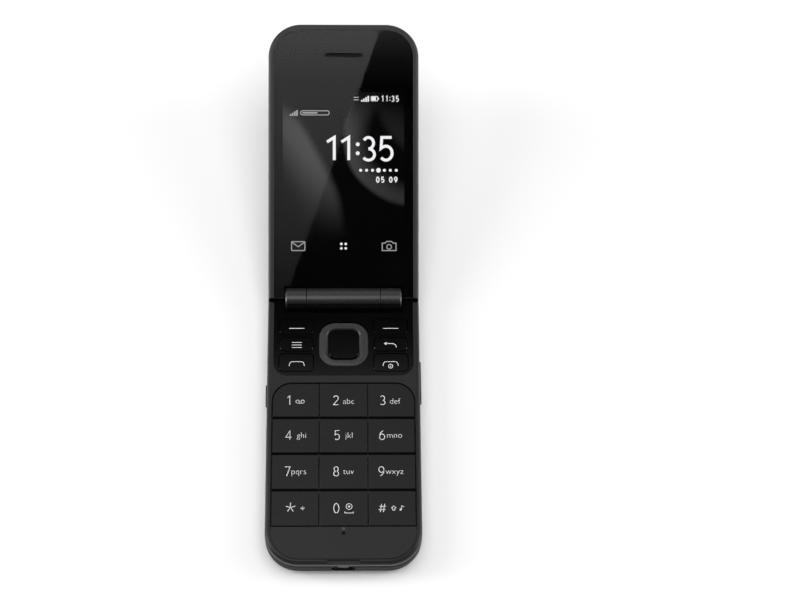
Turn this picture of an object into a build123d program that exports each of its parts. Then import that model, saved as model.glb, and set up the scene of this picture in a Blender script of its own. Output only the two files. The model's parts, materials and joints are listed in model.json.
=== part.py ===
"""Flip phone, shown opened, lying on its back.

X runs to the right, +Y from the bottom end to the hinge, +Z up from the resting face.
Distances along the base and along the lid are counted from the hinge axis.
"""
import os
from math import cos, radians, sin, tan

from build123d import *

os.makedirs("parts", exist_ok=True)

# Overall sizes, mm
body_width = 54.4
base_length = 100.0
lid_length = 100.0
base_thickness = 11.7
lid_thickness = 7.0
corner_radius = 11.8
opening_angle = 155.5
closing_gap = 0.5
end_gap = 0.3

# Running and fitting clearances
key_travel = 0.3
key_stop = 0.05
seat = 0.05
loose = 0.3
running_fit = 0.05
scoop_gap = 0.35

# Hinge barrel
barrel_radius = 4.3
barrel_shoulder = 6.3
knuckle_length = 7.45
knuckle_seam = 0.2
barrel_wall = 1.1
cap_thickness = 0.8
cap_round = 0.5
spigot_length = 0.8
shaft_radius = 1.0
shaft_head_length = 4.4
shaft_head_radius = 2.3
cam_length = 13.5
bush_wall = 0.8
bush_length = 13.0

# Base shells
cover_height = 8.2
seam_height = 0.8
seam_inset = 0.45
cover_wall = 1.1
cover_edge = 5.0
skirt_wall = 0.95
skirt_fit = 0.15
rim_round = 1.5
plate_height = 6.2
plate_thickness = 0.9

# Function plate and keys
function_bottom = 29.55
function_rim = 2.2
function_corner = 5.0
function_thickness = 0.8
function_key_margin = 1.9
function_key_ring_gap = 1.85
soft_key_s = 10.5
soft_key_height = 6.4
middle_key_s = 17.4
middle_key_margin = 0.2
middle_key_height = 5.5
call_key_s = 24.5
call_key_height = 7.0
function_key_corner = 1.6
function_key_gap = 0.12
middle_key_rise = 0.1
flange_reach = 0.5
flange_thickness = 0.4
ring_s = 17.3
ring_width = 17.7
ring_height = 16.9
ring_corner = 5.8
ring_step = 1.5
ring_step_drop = 0.35
ring_bevel = 0.25
ring_thickness = 1.5
ring_rise = 0.05
ring_gap = 0.25
select_width = 10.6
select_height = 11.4
select_corner = 2.5
select_sink = 0.1
web_thickness = 0.45
web_nub_radius = 0.8
web_nub_offset = 7.3
pivot_radius = 0.6

# Number keypad
keypad_band = 2.7
keypad_rim = 1.75
keypad_corner = 7.2
key_rows = 4
key_columns = 3
middle_column_extra = 0.4
row_gap = 0.6
column_gap = 0.25
border_gap = 0.3
key_sink = 0.15
key_cap_thickness = 1.9
key_edge = 0.25
nub_radius = 1.5
nub_gap = 0.3
mat_thickness = 0.35
mat_overlap = 0.45
tick_height = 0.12
tick_length = 1.8
tick_width = 0.35
tick_offset = 6.9
panel_length = 11.9
panel_rim = 1.6
groove_width = 0.35
groove_depth = 0.5
panel_corner = 10.1
notch_width = 11.4
notch_depth = 0.6
notch_reach = 1.5
mic_offset = 2.2
mic_hole_radius = 0.6
mic_width = 3.6
mic_length = 2.8
mic_height = 0.9

# Side keys
side_key_low = 6.4
side_key_height = 1.6
side_key_proud = 0.5
side_key_gap = 0.2
side_flange_offset = 0.4
side_flange_thickness = 0.5
volume_s = 30.75
volume_length = 16.6
emergency_s = 35.8
emergency_length = 8.6
switch_depth = 1.8
switch_height = 1.0
switch_length = 4.0
volume_switch_offset = 5.0

# Boards and what they carry
board_thickness = 0.8
board_margin = 3.7
board_top = 6.6
board_end_margin = 4.5
board_corner = 9.0
dome_height = 0.3
dome_radius = 2.4
small_dome_radius = 1.6
dome_crown = 0.45
dome_sides = 8
shield_margin = 7.2
shield_s = 26.0
shield_width = 18.0
shield_length = 12.0
shield_height = 2.2
shield_wall = 0.3
shield_room = 0.4

# Battery bay
battery_width = 34.0
battery_start = 37.0
battery_end_margin = 10.5
battery_thickness = 4.8
battery_floor = 1.2
battery_corner = 1.5
bay_gap = 0.3
bay_wall = 0.9
contact_width = 9.0
contact_depth = 2.4
contact_height = 3.0
blade_width = 1.2
blade_reach = 1.1
blade_thickness = 0.3
blade_pitch = 2.6
blade_count = 3
sim_width = 15.0
sim_length = 17.0
sim_offset = 2.5
sim_wall = 0.2

# Sockets and small modules
usb_width = 7.4
usb_height = 2.6
usb_depth = 5.6
usb_wall = 0.3
usb_low = 5.3
usb_tongue = 0.6
usb_mouth_width = 8.2
usb_mouth_height = 3.2
usb_mouth_corner = 1.2
jack_s = 24.6
jack_height = 4.75
jack_body = 4.7
jack_depth = 12.0
jack_back = 1.2
jack_radius = 1.8
jack_sleeve_radius = 2.4
camera_s = 13.5
camera_size = 7.8
camera_height = 4.4
camera_barrel_radius = 2.6
camera_window_radius = 3.4
lens_thickness = 0.8
lens_sink = 0.25
flash_x = 9.0
flash_radius = 1.7
flash_height = 1.6
speaker_margin = 4.7
speaker_s = 12.5
speaker_width = 14.0
speaker_length = 10.0
speaker_height = 3.4
slot_count = 4
slot_pitch = 1.9
slot_width = 0.9
slot_length = 9.0
motor_x = 12.5
motor_end_margin = 5.9
motor_radius = 3.0
motor_height = 2.6
screw_top_inset = 5.2
screw_top_offset = 1.0
screw_low_inset = 6.6
screw_low_end_margin = 7.9
screw_radius = 0.7
screw_head_radius = 1.4
screw_head_height = 0.7
screw_length = 2.6
boss_radius = 1.5
boss_gap = 0.3
pilot_gap = 0.02

# Lid shells and what they hold
lid_frame_depth = 3.15
lid_rim = 2.0
lid_rim_round = 1.2
lid_edge = 2.8
lid_wall = 1.2
lid_deck = 0.8
glass_thickness = 0.8
glass_sink = 0.15
glass_gap = 0.05
glass_start = 0.9
outer_glass_length = 54.6
outer_glass_corner = 7.0
earpiece_end_margin = 11.2
earpiece_width = 13.8
earpiece_height = 1.4
mesh_width = 15.6
mesh_height = 3.0
mesh_thickness = 0.3
earpiece_box_width = 13.0
earpiece_box_height = 6.0
earpiece_box_depth = 1.2
display_start = 16.25
display_end_margin = 23.5
display_margin = 4.4
display_thickness = 1.8
lid_board_margin = 7.2
lid_board_start = 14.0
lid_board_end_margin = 18.5
lid_board_thickness = 0.6
outer_display_margin = 10.6
outer_display_width = 27.0
outer_display_length = 30.0
outer_display_thickness = 1.2
magnet_inset = 7.2
magnet_end_margin = 12.5
magnet_width = 3.0
magnet_length = 5.0
magnet_thickness = 1.0

# Derived frames and levels
lean = 180.0 - opening_angle
end_tilt = lean / 2
end_reach = base_thickness * tan(radians(end_tilt))
lid_end_reach = lid_thickness * tan(radians(end_tilt))
hinge_y = (base_length - end_reach) / 2
half_width = body_width / 2

# Derived places and sizes across and along the body
barrel_length = body_width - 2 * barrel_shoulder
centre_length = barrel_length - 2 * (knuckle_length + knuckle_seam)
function_width = body_width - 2 * function_rim
function_key_width = function_width / 2 - function_key_margin - ring_width / 2 - function_key_ring_gap
function_key_x = function_width / 2 - function_key_margin - function_key_width / 2
middle_key_width = function_key_width - 2 * middle_key_margin
keypad_width = body_width - 2 * keypad_rim
keypad_top = function_bottom + keypad_band
panel_bottom = base_length - panel_rim
keypad_bottom = panel_bottom - panel_length
row_pitch = (keypad_bottom - keypad_top) / key_rows
column_pitch = (keypad_width + middle_column_extra) / key_columns
notch_start = base_length - notch_reach
mic_s = keypad_bottom + mic_offset
board_width = body_width - 2 * board_margin
board_bottom = base_length - board_end_margin
battery_length = base_length - battery_end_margin - battery_start
battery_s = battery_start + battery_length / 2
sim_s = battery_s + sim_offset
shield_x = half_width - shield_margin - shield_width / 2
speaker_x = half_width - speaker_margin - speaker_width / 2
motor_s = base_length - motor_end_margin
screw_top_x = half_width - screw_top_inset
screw_top_s = function_bottom + screw_top_offset
screw_low_x = half_width - screw_low_inset
screw_low_s = base_length - screw_low_end_margin
earpiece_s = lid_length - earpiece_end_margin
display_width = body_width - 2 * display_margin
display_length = lid_length - display_end_margin - display_start
display_s = display_start + display_length / 2
lid_board_width = body_width - 2 * lid_board_margin
lid_board_length = lid_length - lid_board_end_margin - lid_board_start
lid_board_s = lid_board_start + lid_board_length / 2
outer_display_s = outer_glass_length - outer_display_margin - outer_display_length / 2
magnet_x = half_width - magnet_inset
magnet_s = lid_length - magnet_end_margin

# Derived levels and radii
base_face = base_thickness - closing_gap / 2
housing_bottom = cover_height + seam_height
flange_top = housing_bottom - seat
flange_bottom = flange_top - flange_thickness
nub_bottom = flange_bottom
dome_top = nub_bottom - key_travel - key_stop
board_top_face = dome_top - dome_height
board_bottom_face = board_top_face - board_thickness
scoop_radius = barrel_radius + scoop_gap
knuckle_start = centre_length / 2 + knuckle_seam
knuckle_end = barrel_length / 2
cap_start = knuckle_end - cap_thickness
bore_radius = barrel_radius - barrel_wall
plate_start = scoop_radius + loose
key_top = base_face - key_sink
cap_bottom = key_top - key_cap_thickness
mat_bottom = housing_bottom - mat_thickness
lid_face = -closing_gap / 2
lid_split = lid_face - lid_frame_depth
glass_top = lid_face - glass_sink
glass_bottom = glass_top - glass_thickness
deck_bottom = glass_bottom - lid_deck
skirt_inset = cover_wall + skirt_fit
wall_inner = skirt_inset + skirt_wall

end_normal = (0, cos(radians(end_tilt)), sin(radians(end_tilt)))
hinge_plane = Plane(origin=(0, hinge_y, base_thickness), x_dir=(0, 1, 0), z_dir=(1, 0, 0))
lid_plane = Plane(
    origin=(0, hinge_y, base_thickness),
    x_dir=(1, 0, 0),
    z_dir=(0, -sin(radians(lean)), cos(radians(lean))),
)


def end_plane(setback, side):
    """Slanted plane between the two bodies' end faces, set back from the hinge axis."""
    shift = -side * setback
    origin = (0, hinge_y + shift * end_normal[1], base_thickness + shift * end_normal[2])
    return Plane(origin=origin, x_dir=(1, 0, 0), z_dir=tuple(side * value for value in end_normal))


def along(distance):
    """Y of a point on the base at this distance from the hinge axis."""
    return hinge_y - distance


def base_outline(inset=0.0, hinge_end=end_reach):
    low = along(base_length - inset)
    high = hinge_y + hinge_end
    with Locations((0, (low + high) / 2)):
        outline = Rectangle(body_width - 2 * inset, high - low)
    fillet(outline.vertices().group_by(Axis.Y)[0], corner_radius - inset)


def lid_outline(inset=0.0, hinge_end=lid_end_reach):
    low = -hinge_end
    high = lid_length - inset
    with Locations((0, (low + high) / 2)):
        outline = Rectangle(body_width - 2 * inset, high - low)
    fillet(outline.vertices().group_by(Axis.Y)[-1], corner_radius - inset)


def hinge_round(radius, start, end, mode=Mode.ADD):
    """A cylinder about the hinge axis between two X positions."""
    with BuildSketch(hinge_plane.offset(start)) as section:
        Circle(radius)
    extrude(section.sketch, amount=end - start, mode=mode)


def clear_hinge():
    """In the lid: scoops for the base's two knuckles and the seat of the centre barrel."""
    scoop_start = knuckle_start - knuckle_seam
    scoop_end = knuckle_end + loose
    hinge_round(scoop_radius, scoop_start, scoop_end, Mode.SUBTRACT)
    hinge_round(scoop_radius, -scoop_end, -scoop_start, Mode.SUBTRACT)
    hinge_round(barrel_radius + seat / 2, -knuckle_start, knuckle_start, Mode.SUBTRACT)


def function_outline(grow=0.0):
    """The glossy plate's outline: it passes both sides of the barrel up to the lid."""
    width = function_width + 2 * grow
    low = along(function_bottom + grow)
    high = along(end_gap + seat - grow)
    with Locations((0, (low + high) / 2)):
        plate = Rectangle(width, high - low)
    fillet(plate.vertices().group_by(Axis.Y)[0], function_corner + grow)
    with Locations((0, along(plate_start - grow))):
        Rectangle(
            barrel_length + 2 * (loose - grow),
            plate_start * 2,
            align=(Align.CENTER, Align.MIN),
            mode=Mode.SUBTRACT,
        )


def keypad_outline(top, bottom, width, corner):
    """The number field: rounded at the top, square where the lower panel follows."""
    with Locations((0, (along(top) + along(bottom)) / 2)):
        field = Rectangle(width, bottom - top)
    fillet(field.vertices().group_by(Axis.Y)[-1], corner)


def glass_outline(grow=0.0):
    """The inner glass: inside the rim, and past both sides of the barrel."""
    width = body_width - 2 * lid_rim + 2 * grow
    low = glass_start - grow
    high = lid_length - lid_rim + grow
    with Locations((0, (low + high) / 2)):
        glass = Rectangle(width, high - low)
    fillet(glass.vertices().group_by(Axis.Y)[-1], corner_radius - lid_rim + grow)
    with Locations((0, plate_start - grow)):
        Rectangle(
            barrel_length + 2 * (loose - grow),
            plate_start * 2,
            align=(Align.CENTER, Align.MAX),
            mode=Mode.SUBTRACT,
        )


def outer_glass_outline(grow=0.0):
    """The outer glass: full width, rounded where the matte part of the lid begins."""
    low = -lid_end_reach
    high = outer_glass_length + grow
    with Locations((0, (low + high) / 2)):
        glass = Rectangle(body_width, high - low)
    fillet(glass.vertices().group_by(Axis.Y)[-1], outer_glass_corner + grow)


def key_row_s(row):
    return keypad_top + (row + 0.5) * row_pitch


def key_column_x(column):
    return (column - (key_columns - 1) / 2) * column_pitch


def number_key_spots():
    return [
        (key_column_x(column), along(key_row_s(row)))
        for row in range(key_rows)
        for column in range(key_columns)
    ]


def screw_spots():
    return [
        (side * x, along(s))
        for side in (-1, 1)
        for x, s in ((screw_top_x, screw_top_s), (screw_low_x, screw_low_s))
    ]


def function_spots():
    """Name, side, distance, width, height and rise of the six keys beside the ring."""
    rows = (
        ("soft_key_left", "soft_key_right", soft_key_s, function_key_width, soft_key_height, 0.0),
        ("menu_key", "back_key", middle_key_s, middle_key_width, middle_key_height, middle_key_rise),
        ("call_key", "end_key", call_key_s, function_key_width, call_key_height, 0.0),
    )
    for left, right, s, width, height, rise in rows:
        yield left, -function_key_x, s, width, height, rise
        yield right, function_key_x, s, width, height, rise


# ---------------------------------------------------------------- base shells

with BuildPart() as battery_cover:
    with BuildSketch():
        base_outline()
    extrude(amount=cover_height)
    split(bisect_by=end_plane(end_gap / 2, 1), keep=Keep.BOTTOM)
    rear_edges = battery_cover.faces().sort_by(Axis.Z)[0].edges()
    hinge_edge = rear_edges.sort_by(Axis.Y)[-1]
    fillet(rear_edges.filter_by(lambda edge: edge != hinge_edge), cover_edge)
    offset(
        amount=-cover_wall,
        openings=battery_cover.faces().sort_by(Axis.Z)[-1],
    )
    hinge_round(scoop_radius, -knuckle_end - loose, knuckle_end + loose, Mode.SUBTRACT)
    # Camera, flash and loudspeaker openings in the back
    with BuildSketch():
        with Locations((0, along(camera_s))):
            Circle(camera_window_radius)
        with Locations((flash_x, along(camera_s))):
            Circle(flash_radius + seat)
        with Locations((-speaker_x, along(speaker_s))):
            with GridLocations(0, slot_pitch, 1, slot_count):
                SlotOverall(slot_length, slot_width)
    extrude(amount=cover_wall * 2, mode=Mode.SUBTRACT)
    # USB mouth in the bottom end
    with BuildSketch(Plane.XZ.offset(-along(base_length))):
        with Locations((0, usb_low + usb_height / 2)):
            RectangleRounded(usb_mouth_width, usb_mouth_height, usb_mouth_corner)
    extrude(amount=-cover_wall * 2, mode=Mode.SUBTRACT)
    # Jack hole in the left side
    with BuildSketch(Plane.YZ.offset(-half_width)):
        with Locations((along(jack_s), jack_height)):
            Circle(jack_sleeve_radius + seat)
    extrude(amount=cover_wall * 2, mode=Mode.SUBTRACT)
    # Notches round the side keys
    for side, s, length in ((-1, emergency_s, emergency_length), (1, volume_s, volume_length)):
        notch_low = side_key_low - side_key_gap
        with BuildSketch(Plane.XY.offset(notch_low)):
            with Locations((side * half_width, along(s))):
                Rectangle(cover_wall * 2 + seam_inset, length + 2 * side_key_gap)
        extrude(amount=cover_height - notch_low, mode=Mode.SUBTRACT)
battery_cover.part.label = "battery_cover"
export_step(battery_cover.part, "parts/battery_cover.step")

with BuildPart() as base_rear_housing:
    # Recessed band under the front housing's rim
    with BuildSketch(Plane.XY.offset(cover_height)):
        base_outline(inset=seam_inset)
    extrude(amount=seam_height)
    # Skirt inside the battery cover
    with BuildSketch(Plane.XY.offset(cover_edge)):
        base_outline(inset=skirt_inset)
    extrude(amount=cover_height - cover_edge)
    split(bisect_by=end_plane(end_gap / 2 + cover_wall + skirt_fit, 1), keep=Keep.BOTTOM)
    # Room for the board above the plate, then the room below it
    with BuildSketch(Plane.XY.offset(plate_height + plate_thickness)):
        base_outline(inset=wall_inner, hinge_end=-(scoop_radius + skirt_wall))
    extrude(amount=base_thickness, mode=Mode.SUBTRACT)
    with BuildSketch(Plane.XY.offset(mat_bottom)):
        keypad_outline(
            keypad_top - mat_overlap * 2,
            keypad_bottom + mat_overlap * 2,
            keypad_width,
            keypad_corner,
        )
    extrude(amount=base_thickness, mode=Mode.SUBTRACT)
    with BuildSketch(Plane.XY.offset(cover_edge)):
        base_outline(inset=wall_inner, hinge_end=-(scoop_radius + skirt_wall))
    extrude(amount=plate_height - cover_edge, mode=Mode.SUBTRACT)
    # Battery bay wall hanging from the plate
    with BuildSketch(Plane.XY.offset(battery_floor)):
        with Locations((0, along(battery_s))):
            Rectangle(
                battery_width + 2 * (bay_gap + bay_wall),
                battery_length + 2 * (bay_gap + bay_wall),
            )
            Rectangle(
                battery_width + 2 * bay_gap,
                battery_length + 2 * bay_gap,
                mode=Mode.SUBTRACT,
            )
    extrude(amount=plate_height - battery_floor)
    # Notch in the bay wall for the battery contacts
    contact_s = battery_s - battery_length / 2 - bay_gap - bay_wall / 2
    with BuildSketch(Plane.XY.offset(battery_floor)):
        with Locations((0, along(contact_s))):
            Rectangle(contact_width + 2 * seat, bay_wall + 2 * bay_gap)
    extrude(amount=plate_height - battery_floor, mode=Mode.SUBTRACT)
    # Windows in the plate: shield can, SIM holder, jack, loudspeaker, camera
    with BuildSketch(Plane.XY.offset(plate_height)):
        with Locations((shield_x, along(shield_s))):
            Rectangle(shield_width + 2 * shield_room, shield_length + 2 * shield_room)
        with Locations((0, along(sim_s))):
            Rectangle(sim_width + 2 * seat, sim_length + 2 * seat)
        with Locations((-half_width, along(jack_s))):
            Rectangle(
                (jack_depth + jack_back + wall_inner + loose) * 2,
                jack_body + 2 * seat,
            )
        with Locations((0, along(camera_s))):
            Rectangle(camera_size / 2, camera_size / 2)
    extrude(amount=plate_thickness, mode=Mode.SUBTRACT)
    # USB socket passes through the bottom wall and the plate's end
    with BuildSketch(Plane.XZ.offset(-along(base_length))):
        with Locations((0, usb_low + usb_height / 2)):
            Rectangle(usb_width + 2 * seat, usb_height + 2 * seat)
    extrude(amount=-(usb_depth + wall_inner), mode=Mode.SUBTRACT)
    # Jack passes through the left wall
    with BuildSketch(Plane.YZ.offset(-half_width)):
        with Locations((along(jack_s), jack_height)):
            Circle(jack_sleeve_radius + seat)
    extrude(amount=wall_inner + seat, mode=Mode.SUBTRACT)
    # Windows for the side keys and the room for their flanges and switches
    for side, s, length in ((-1, emergency_s, emergency_length), (1, volume_s, volume_length)):
        window_low = side_key_low - side_key_gap
        flange_room = side_flange_offset + side_flange_thickness + key_travel + switch_depth
        with BuildSketch(Plane.XY.offset(window_low)):
            with Locations((side * half_width, along(s))):
                Rectangle(2 * wall_inner + seat, length + 2 * side_key_gap)
            with Locations((side * (half_width - wall_inner - flange_room / 2), along(s))):
                Rectangle(flange_room + 2 * seat, length + 2 * (flange_reach + side_key_gap))
        extrude(amount=side_key_height + 2 * side_key_gap, mode=Mode.SUBTRACT)
    # Screw holes
    with BuildSketch(Plane.XY.offset(plate_height)):
        with Locations(*screw_spots()):
            Circle(screw_radius + seat)
    extrude(amount=plate_thickness, mode=Mode.SUBTRACT)
    hinge_round(scoop_radius, -knuckle_end - loose, knuckle_end + loose, Mode.SUBTRACT)
base_rear_housing.part.label = "base_rear_housing"
export_step(base_rear_housing.part, "parts/base_rear_housing.step")

with BuildPart() as base_front_housing:
    with BuildSketch(Plane.XY.offset(housing_bottom)):
        base_outline()
    extrude(amount=base_face - housing_bottom)
    rim_edges = base_front_housing.faces().sort_by(Axis.Z)[-1].edges()
    rim_hinge_edge = rim_edges.sort_by(Axis.Y)[-1]
    fillet(rim_edges.filter_by(lambda edge: edge != rim_hinge_edge), rim_round)
    split(bisect_by=end_plane(end_gap / 2, 1), keep=Keep.BOTTOM)
    # Scoop for the lid's centre barrel, and the two knuckles either side of it
    hinge_round(scoop_radius, -knuckle_start, knuckle_start, Mode.SUBTRACT)
    for side in (-1, 1):
        hinge_round(barrel_radius + seat, side * cap_start, side * (knuckle_end + loose), Mode.SUBTRACT)
    hinge_round(barrel_radius, knuckle_start, cap_start)
    hinge_round(barrel_radius, -cap_start, -knuckle_start)
    hinge_round(shaft_head_radius + running_fit, knuckle_start, cap_start, Mode.SUBTRACT)
    hinge_round(bore_radius, -cap_start, -knuckle_start, Mode.SUBTRACT)
    # Seat of the function plate and the openings below it
    with BuildSketch(Plane.XY.offset(base_face)):
        function_outline(grow=glass_gap)
    extrude(amount=-function_thickness, mode=Mode.SUBTRACT)
    with BuildSketch(Plane.XY.offset(housing_bottom)):
        for name, x, s, width, height, rise in function_spots():
            with Locations((x, along(s))):
                Rectangle(width + 2 * function_key_gap, height + 2 * function_key_gap)
        with Locations((0, along(ring_s))):
            Rectangle(ring_width + 2 * ring_gap, ring_height + 2 * ring_gap)
        keypad_outline(keypad_top, keypad_bottom, keypad_width, keypad_corner)
    extrude(amount=base_face - housing_bottom, mode=Mode.SUBTRACT)
    # Groove that carries the key field's line on round the lower panel
    with BuildSketch(Plane.XY.offset(base_face)):
        with Locations((0, (along(keypad_bottom - row_gap) + along(panel_bottom)) / 2)):
            panel = Rectangle(keypad_width, panel_bottom - keypad_bottom + row_gap)
        fillet(panel.vertices().group_by(Axis.Y)[0], panel_corner)
        offset(amount=-groove_width, mode=Mode.SUBTRACT)
        with Locations((0, along(keypad_bottom - row_gap))):
            Rectangle(
                keypad_width,
                row_gap + groove_width,
                align=(Align.CENTER, Align.MAX),
                mode=Mode.SUBTRACT,
            )
    extrude(amount=-groove_depth, mode=Mode.SUBTRACT)
    # Finger notch in the rim's end, and the microphone hole
    with BuildSketch(Plane.XY.offset(base_face)):
        with Locations((0, along(notch_start))):
            Rectangle(
                notch_width,
                base_length - notch_start,
                align=(Align.CENTER, Align.MAX),
            )
    extrude(amount=-notch_depth, mode=Mode.SUBTRACT)
    with BuildSketch(Plane.XY.offset(base_face)):
        with Locations((0, along(mic_s))):
            Circle(mic_hole_radius)
    extrude(amount=housing_bottom - base_face, mode=Mode.SUBTRACT)
    # Screw bosses down to the rear housing's plate
    with BuildSketch(Plane.XY.offset(plate_height + plate_thickness)):
        with Locations(*screw_spots()):
            Circle(boss_radius)
            Circle(screw_radius + pilot_gap, mode=Mode.SUBTRACT)
    extrude(amount=housing_bottom - plate_height - plate_thickness)
base_front_housing.part.label = "base_front_housing"
export_step(base_front_housing.part, "parts/base_front_housing.step")

with BuildPart() as function_plate:
    with BuildSketch(Plane.XY.offset(base_face - function_thickness)):
        function_outline()
        for name, x, s, width, height, rise in function_spots():
            with Locations((x, along(s))):
                RectangleRounded(
                    width + 2 * function_key_gap,
                    height + 2 * function_key_gap,
                    function_key_corner + function_key_gap,
                    mode=Mode.SUBTRACT,
                )
        with Locations((0, along(ring_s))):
            RectangleRounded(
                ring_width + 2 * ring_gap,
                ring_height + 2 * ring_gap,
                ring_corner + ring_gap,
                mode=Mode.SUBTRACT,
            )
    extrude(amount=function_thickness)
function_plate.part.label = "function_plate"
export_step(function_plate.part, "parts/function_plate.step")

# ------------------------------------------------------------------- the keys

for name, x, s, width, height, rise in function_spots():
    with BuildPart() as function_key:
        with BuildSketch(Plane.XY.offset(flange_bottom)):
            with Locations((x, along(s))):
                flange_height = height + 2 * flange_reach if rise == 0 else height
                Rectangle(width + 2 * flange_reach, flange_height)
        extrude(amount=flange_thickness)
        with BuildSketch(Plane.XY.offset(flange_top)):
            with Locations((x, along(s))):
                RectangleRounded(width, height, function_key_corner)
        extrude(amount=base_face + rise - flange_top)
        chamfer(function_key.faces().sort_by(Axis.Z)[-1].edges(), key_edge)
    function_key.part.label = name
    export_step(function_key.part, f"parts/{name}.step")

for index, (x, y) in enumerate(number_key_spots()):
    name = ("1", "2", "3", "4", "5", "6", "7", "8", "9", "star", "0", "hash")[index]
    row, column = divmod(index, key_columns)
    edge_gap = border_gap if row == 0 else row_gap / 2
    left = x - column_pitch / 2 + column_gap / 2
    right = x + column_pitch / 2 - column_gap / 2
    if column == 0:
        left = -keypad_width / 2 + border_gap
    if column == key_columns - 1:
        right = keypad_width / 2 - border_gap
    top = y + row_pitch / 2 - edge_gap
    bottom = y - row_pitch / 2 + row_gap / 2
    with BuildPart() as number_key:
        with BuildSketch(Plane.XY.offset(cap_bottom)):
            with Locations(((left + right) / 2, (top + bottom) / 2)):
                cap = Rectangle(right - left, top - bottom)
            if row == 0 and column != 1:
                outer = cap.vertices().group_by(Axis.Y)[-1].sort_by(Axis.X)[-1 if column else 0]
                fillet(outer, keypad_corner - border_gap)
        extrude(amount=key_cap_thickness)
        chamfer(number_key.faces().sort_by(Axis.Z)[-1].edges(), key_edge)
        with BuildSketch(Plane.XY.offset(cap_bottom)):
            with Locations((x, y)):
                Circle(nub_radius)
        extrude(amount=nub_bottom - cap_bottom)
        # Raised marks either side of the middle key
        if name == "5":
            with BuildSketch(Plane.XY.offset(key_top)):
                with Locations((x - tick_offset, y), (x + tick_offset, y)):
                    SlotOverall(tick_length, tick_width, rotation=90)
            extrude(amount=tick_height)
    number_key.part.label = f"key_{name}"
    export_step(number_key.part, f"parts/key_{name}.step")

ring_top = base_face + ring_rise
ring_bottom = ring_top - ring_thickness
ring_hole_width = select_width + 2 * ring_gap
ring_hole_height = select_height + 2 * ring_gap
ring_hole_corner = select_corner + ring_gap
web_top = ring_bottom - key_travel - key_stop
web_bottom = web_top - web_thickness
with BuildPart() as nav_ring:
    # Low outer step, then the crest inside it
    with BuildSketch(Plane.XY.offset(ring_bottom)):
        with Locations((0, along(ring_s))):
            RectangleRounded(ring_width, ring_height, ring_corner)
    extrude(amount=ring_thickness - ring_step_drop)
    with BuildSketch(Plane.XY.offset(ring_top - ring_step_drop)):
        with Locations((0, along(ring_s))):
            RectangleRounded(
                ring_width - 2 * ring_step,
                ring_height - 2 * ring_step,
                ring_corner - ring_step,
            )
    extrude(amount=ring_step_drop)
    chamfer(nav_ring.faces().sort_by(Axis.Z)[-1].edges(), ring_bevel)
    with BuildSketch(Plane.XY.offset(ring_bottom)):
        with Locations((0, along(ring_s))):
            RectangleRounded(ring_hole_width, ring_hole_height, ring_hole_corner)
    extrude(amount=ring_thickness, mode=Mode.SUBTRACT)
nav_ring.part.label = "nav_ring"
export_step(nav_ring.part, "parts/nav_ring.step")

with BuildPart() as nav_web:
    with BuildSketch(Plane.XY.offset(web_bottom)):
        with Locations((0, along(ring_s))):
            RectangleRounded(ring_width, ring_height, ring_corner)
            RectangleRounded(
                ring_hole_width,
                ring_hole_height,
                ring_hole_corner,
                mode=Mode.SUBTRACT,
            )
    extrude(amount=web_thickness)
    # Four nubs over the direction domes
    with BuildSketch(Plane.XY.offset(web_bottom)):
        with Locations((0, along(ring_s))):
            with PolarLocations(web_nub_offset, 4):
                Rectangle(2 * web_nub_radius, 2 * web_nub_radius)
    extrude(amount=nub_bottom - web_bottom)
    # Ridges on which the ring rocks
    with BuildSketch(Plane.XY.offset(web_top)):
        with Locations((0, along(ring_s))):
            with PolarLocations(web_nub_offset, 2, start_angle=90):
                Rectangle(2 * pivot_radius, 2 * pivot_radius)
    extrude(amount=ring_bottom - web_top - key_stop)
nav_web.part.label = "nav_web"
export_step(nav_web.part, "parts/nav_web.step")

with BuildPart() as select_key:
    with BuildSketch(Plane.XY.offset(cap_bottom)):
        with Locations((0, along(ring_s))):
            RectangleRounded(select_width, select_height, select_corner)
    extrude(amount=base_face - select_sink - cap_bottom)
    chamfer(select_key.faces().sort_by(Axis.Z)[-1].edges(), key_edge)
    with BuildSketch(Plane.XY.offset(cap_bottom)):
        with Locations((0, along(ring_s))):
            Circle(nub_radius)
    extrude(amount=nub_bottom - cap_bottom)
select_key.part.label = "select_key"
export_step(select_key.part, "parts/select_key.step")

for name, side, s, length in (
    ("emergency_key", -1, emergency_s, emergency_length),
    ("volume_key", 1, volume_s, volume_length),
):
    wall_face = half_width - wall_inner
    flange_outer = wall_face - side_flange_offset
    with BuildPart() as side_key:
        with BuildSketch(Plane.YZ.offset(side * flange_outer)):
            with Locations((along(s), side_key_low + side_key_height / 2)):
                SlotOverall(length, side_key_height)
        extrude(amount=side * (half_width + side_key_proud - flange_outer))
        cap_face = side_key.faces().sort_by(Axis.X)[-1 if side > 0 else 0]
        chamfer(cap_face.edges(), key_edge)
        with BuildSketch(Plane.YZ.offset(side * flange_outer)):
            with Locations((along(s), side_key_low + side_key_height / 2)):
                Rectangle(length + 2 * flange_reach, side_key_height)
        extrude(amount=-side * side_flange_thickness)
    side_key.part.label = name
    export_step(side_key.part, f"parts/{name}.step")

# ----------------------------------------------------------- inside the base

with BuildPart() as keypad_mat:
    with BuildSketch(Plane.XY.offset(mat_bottom)):
        keypad_outline(
            keypad_top - mat_overlap,
            keypad_bottom + mat_overlap,
            keypad_width - 2 * seat,
            keypad_corner,
        )
        with Locations(*number_key_spots()):
            Rectangle(2 * (nub_radius + nub_gap), 2 * (nub_radius + nub_gap), mode=Mode.SUBTRACT)
    extrude(amount=mat_thickness)
keypad_mat.part.label = "keypad_mat"
export_step(keypad_mat.part, "parts/keypad_mat.step")


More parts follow.
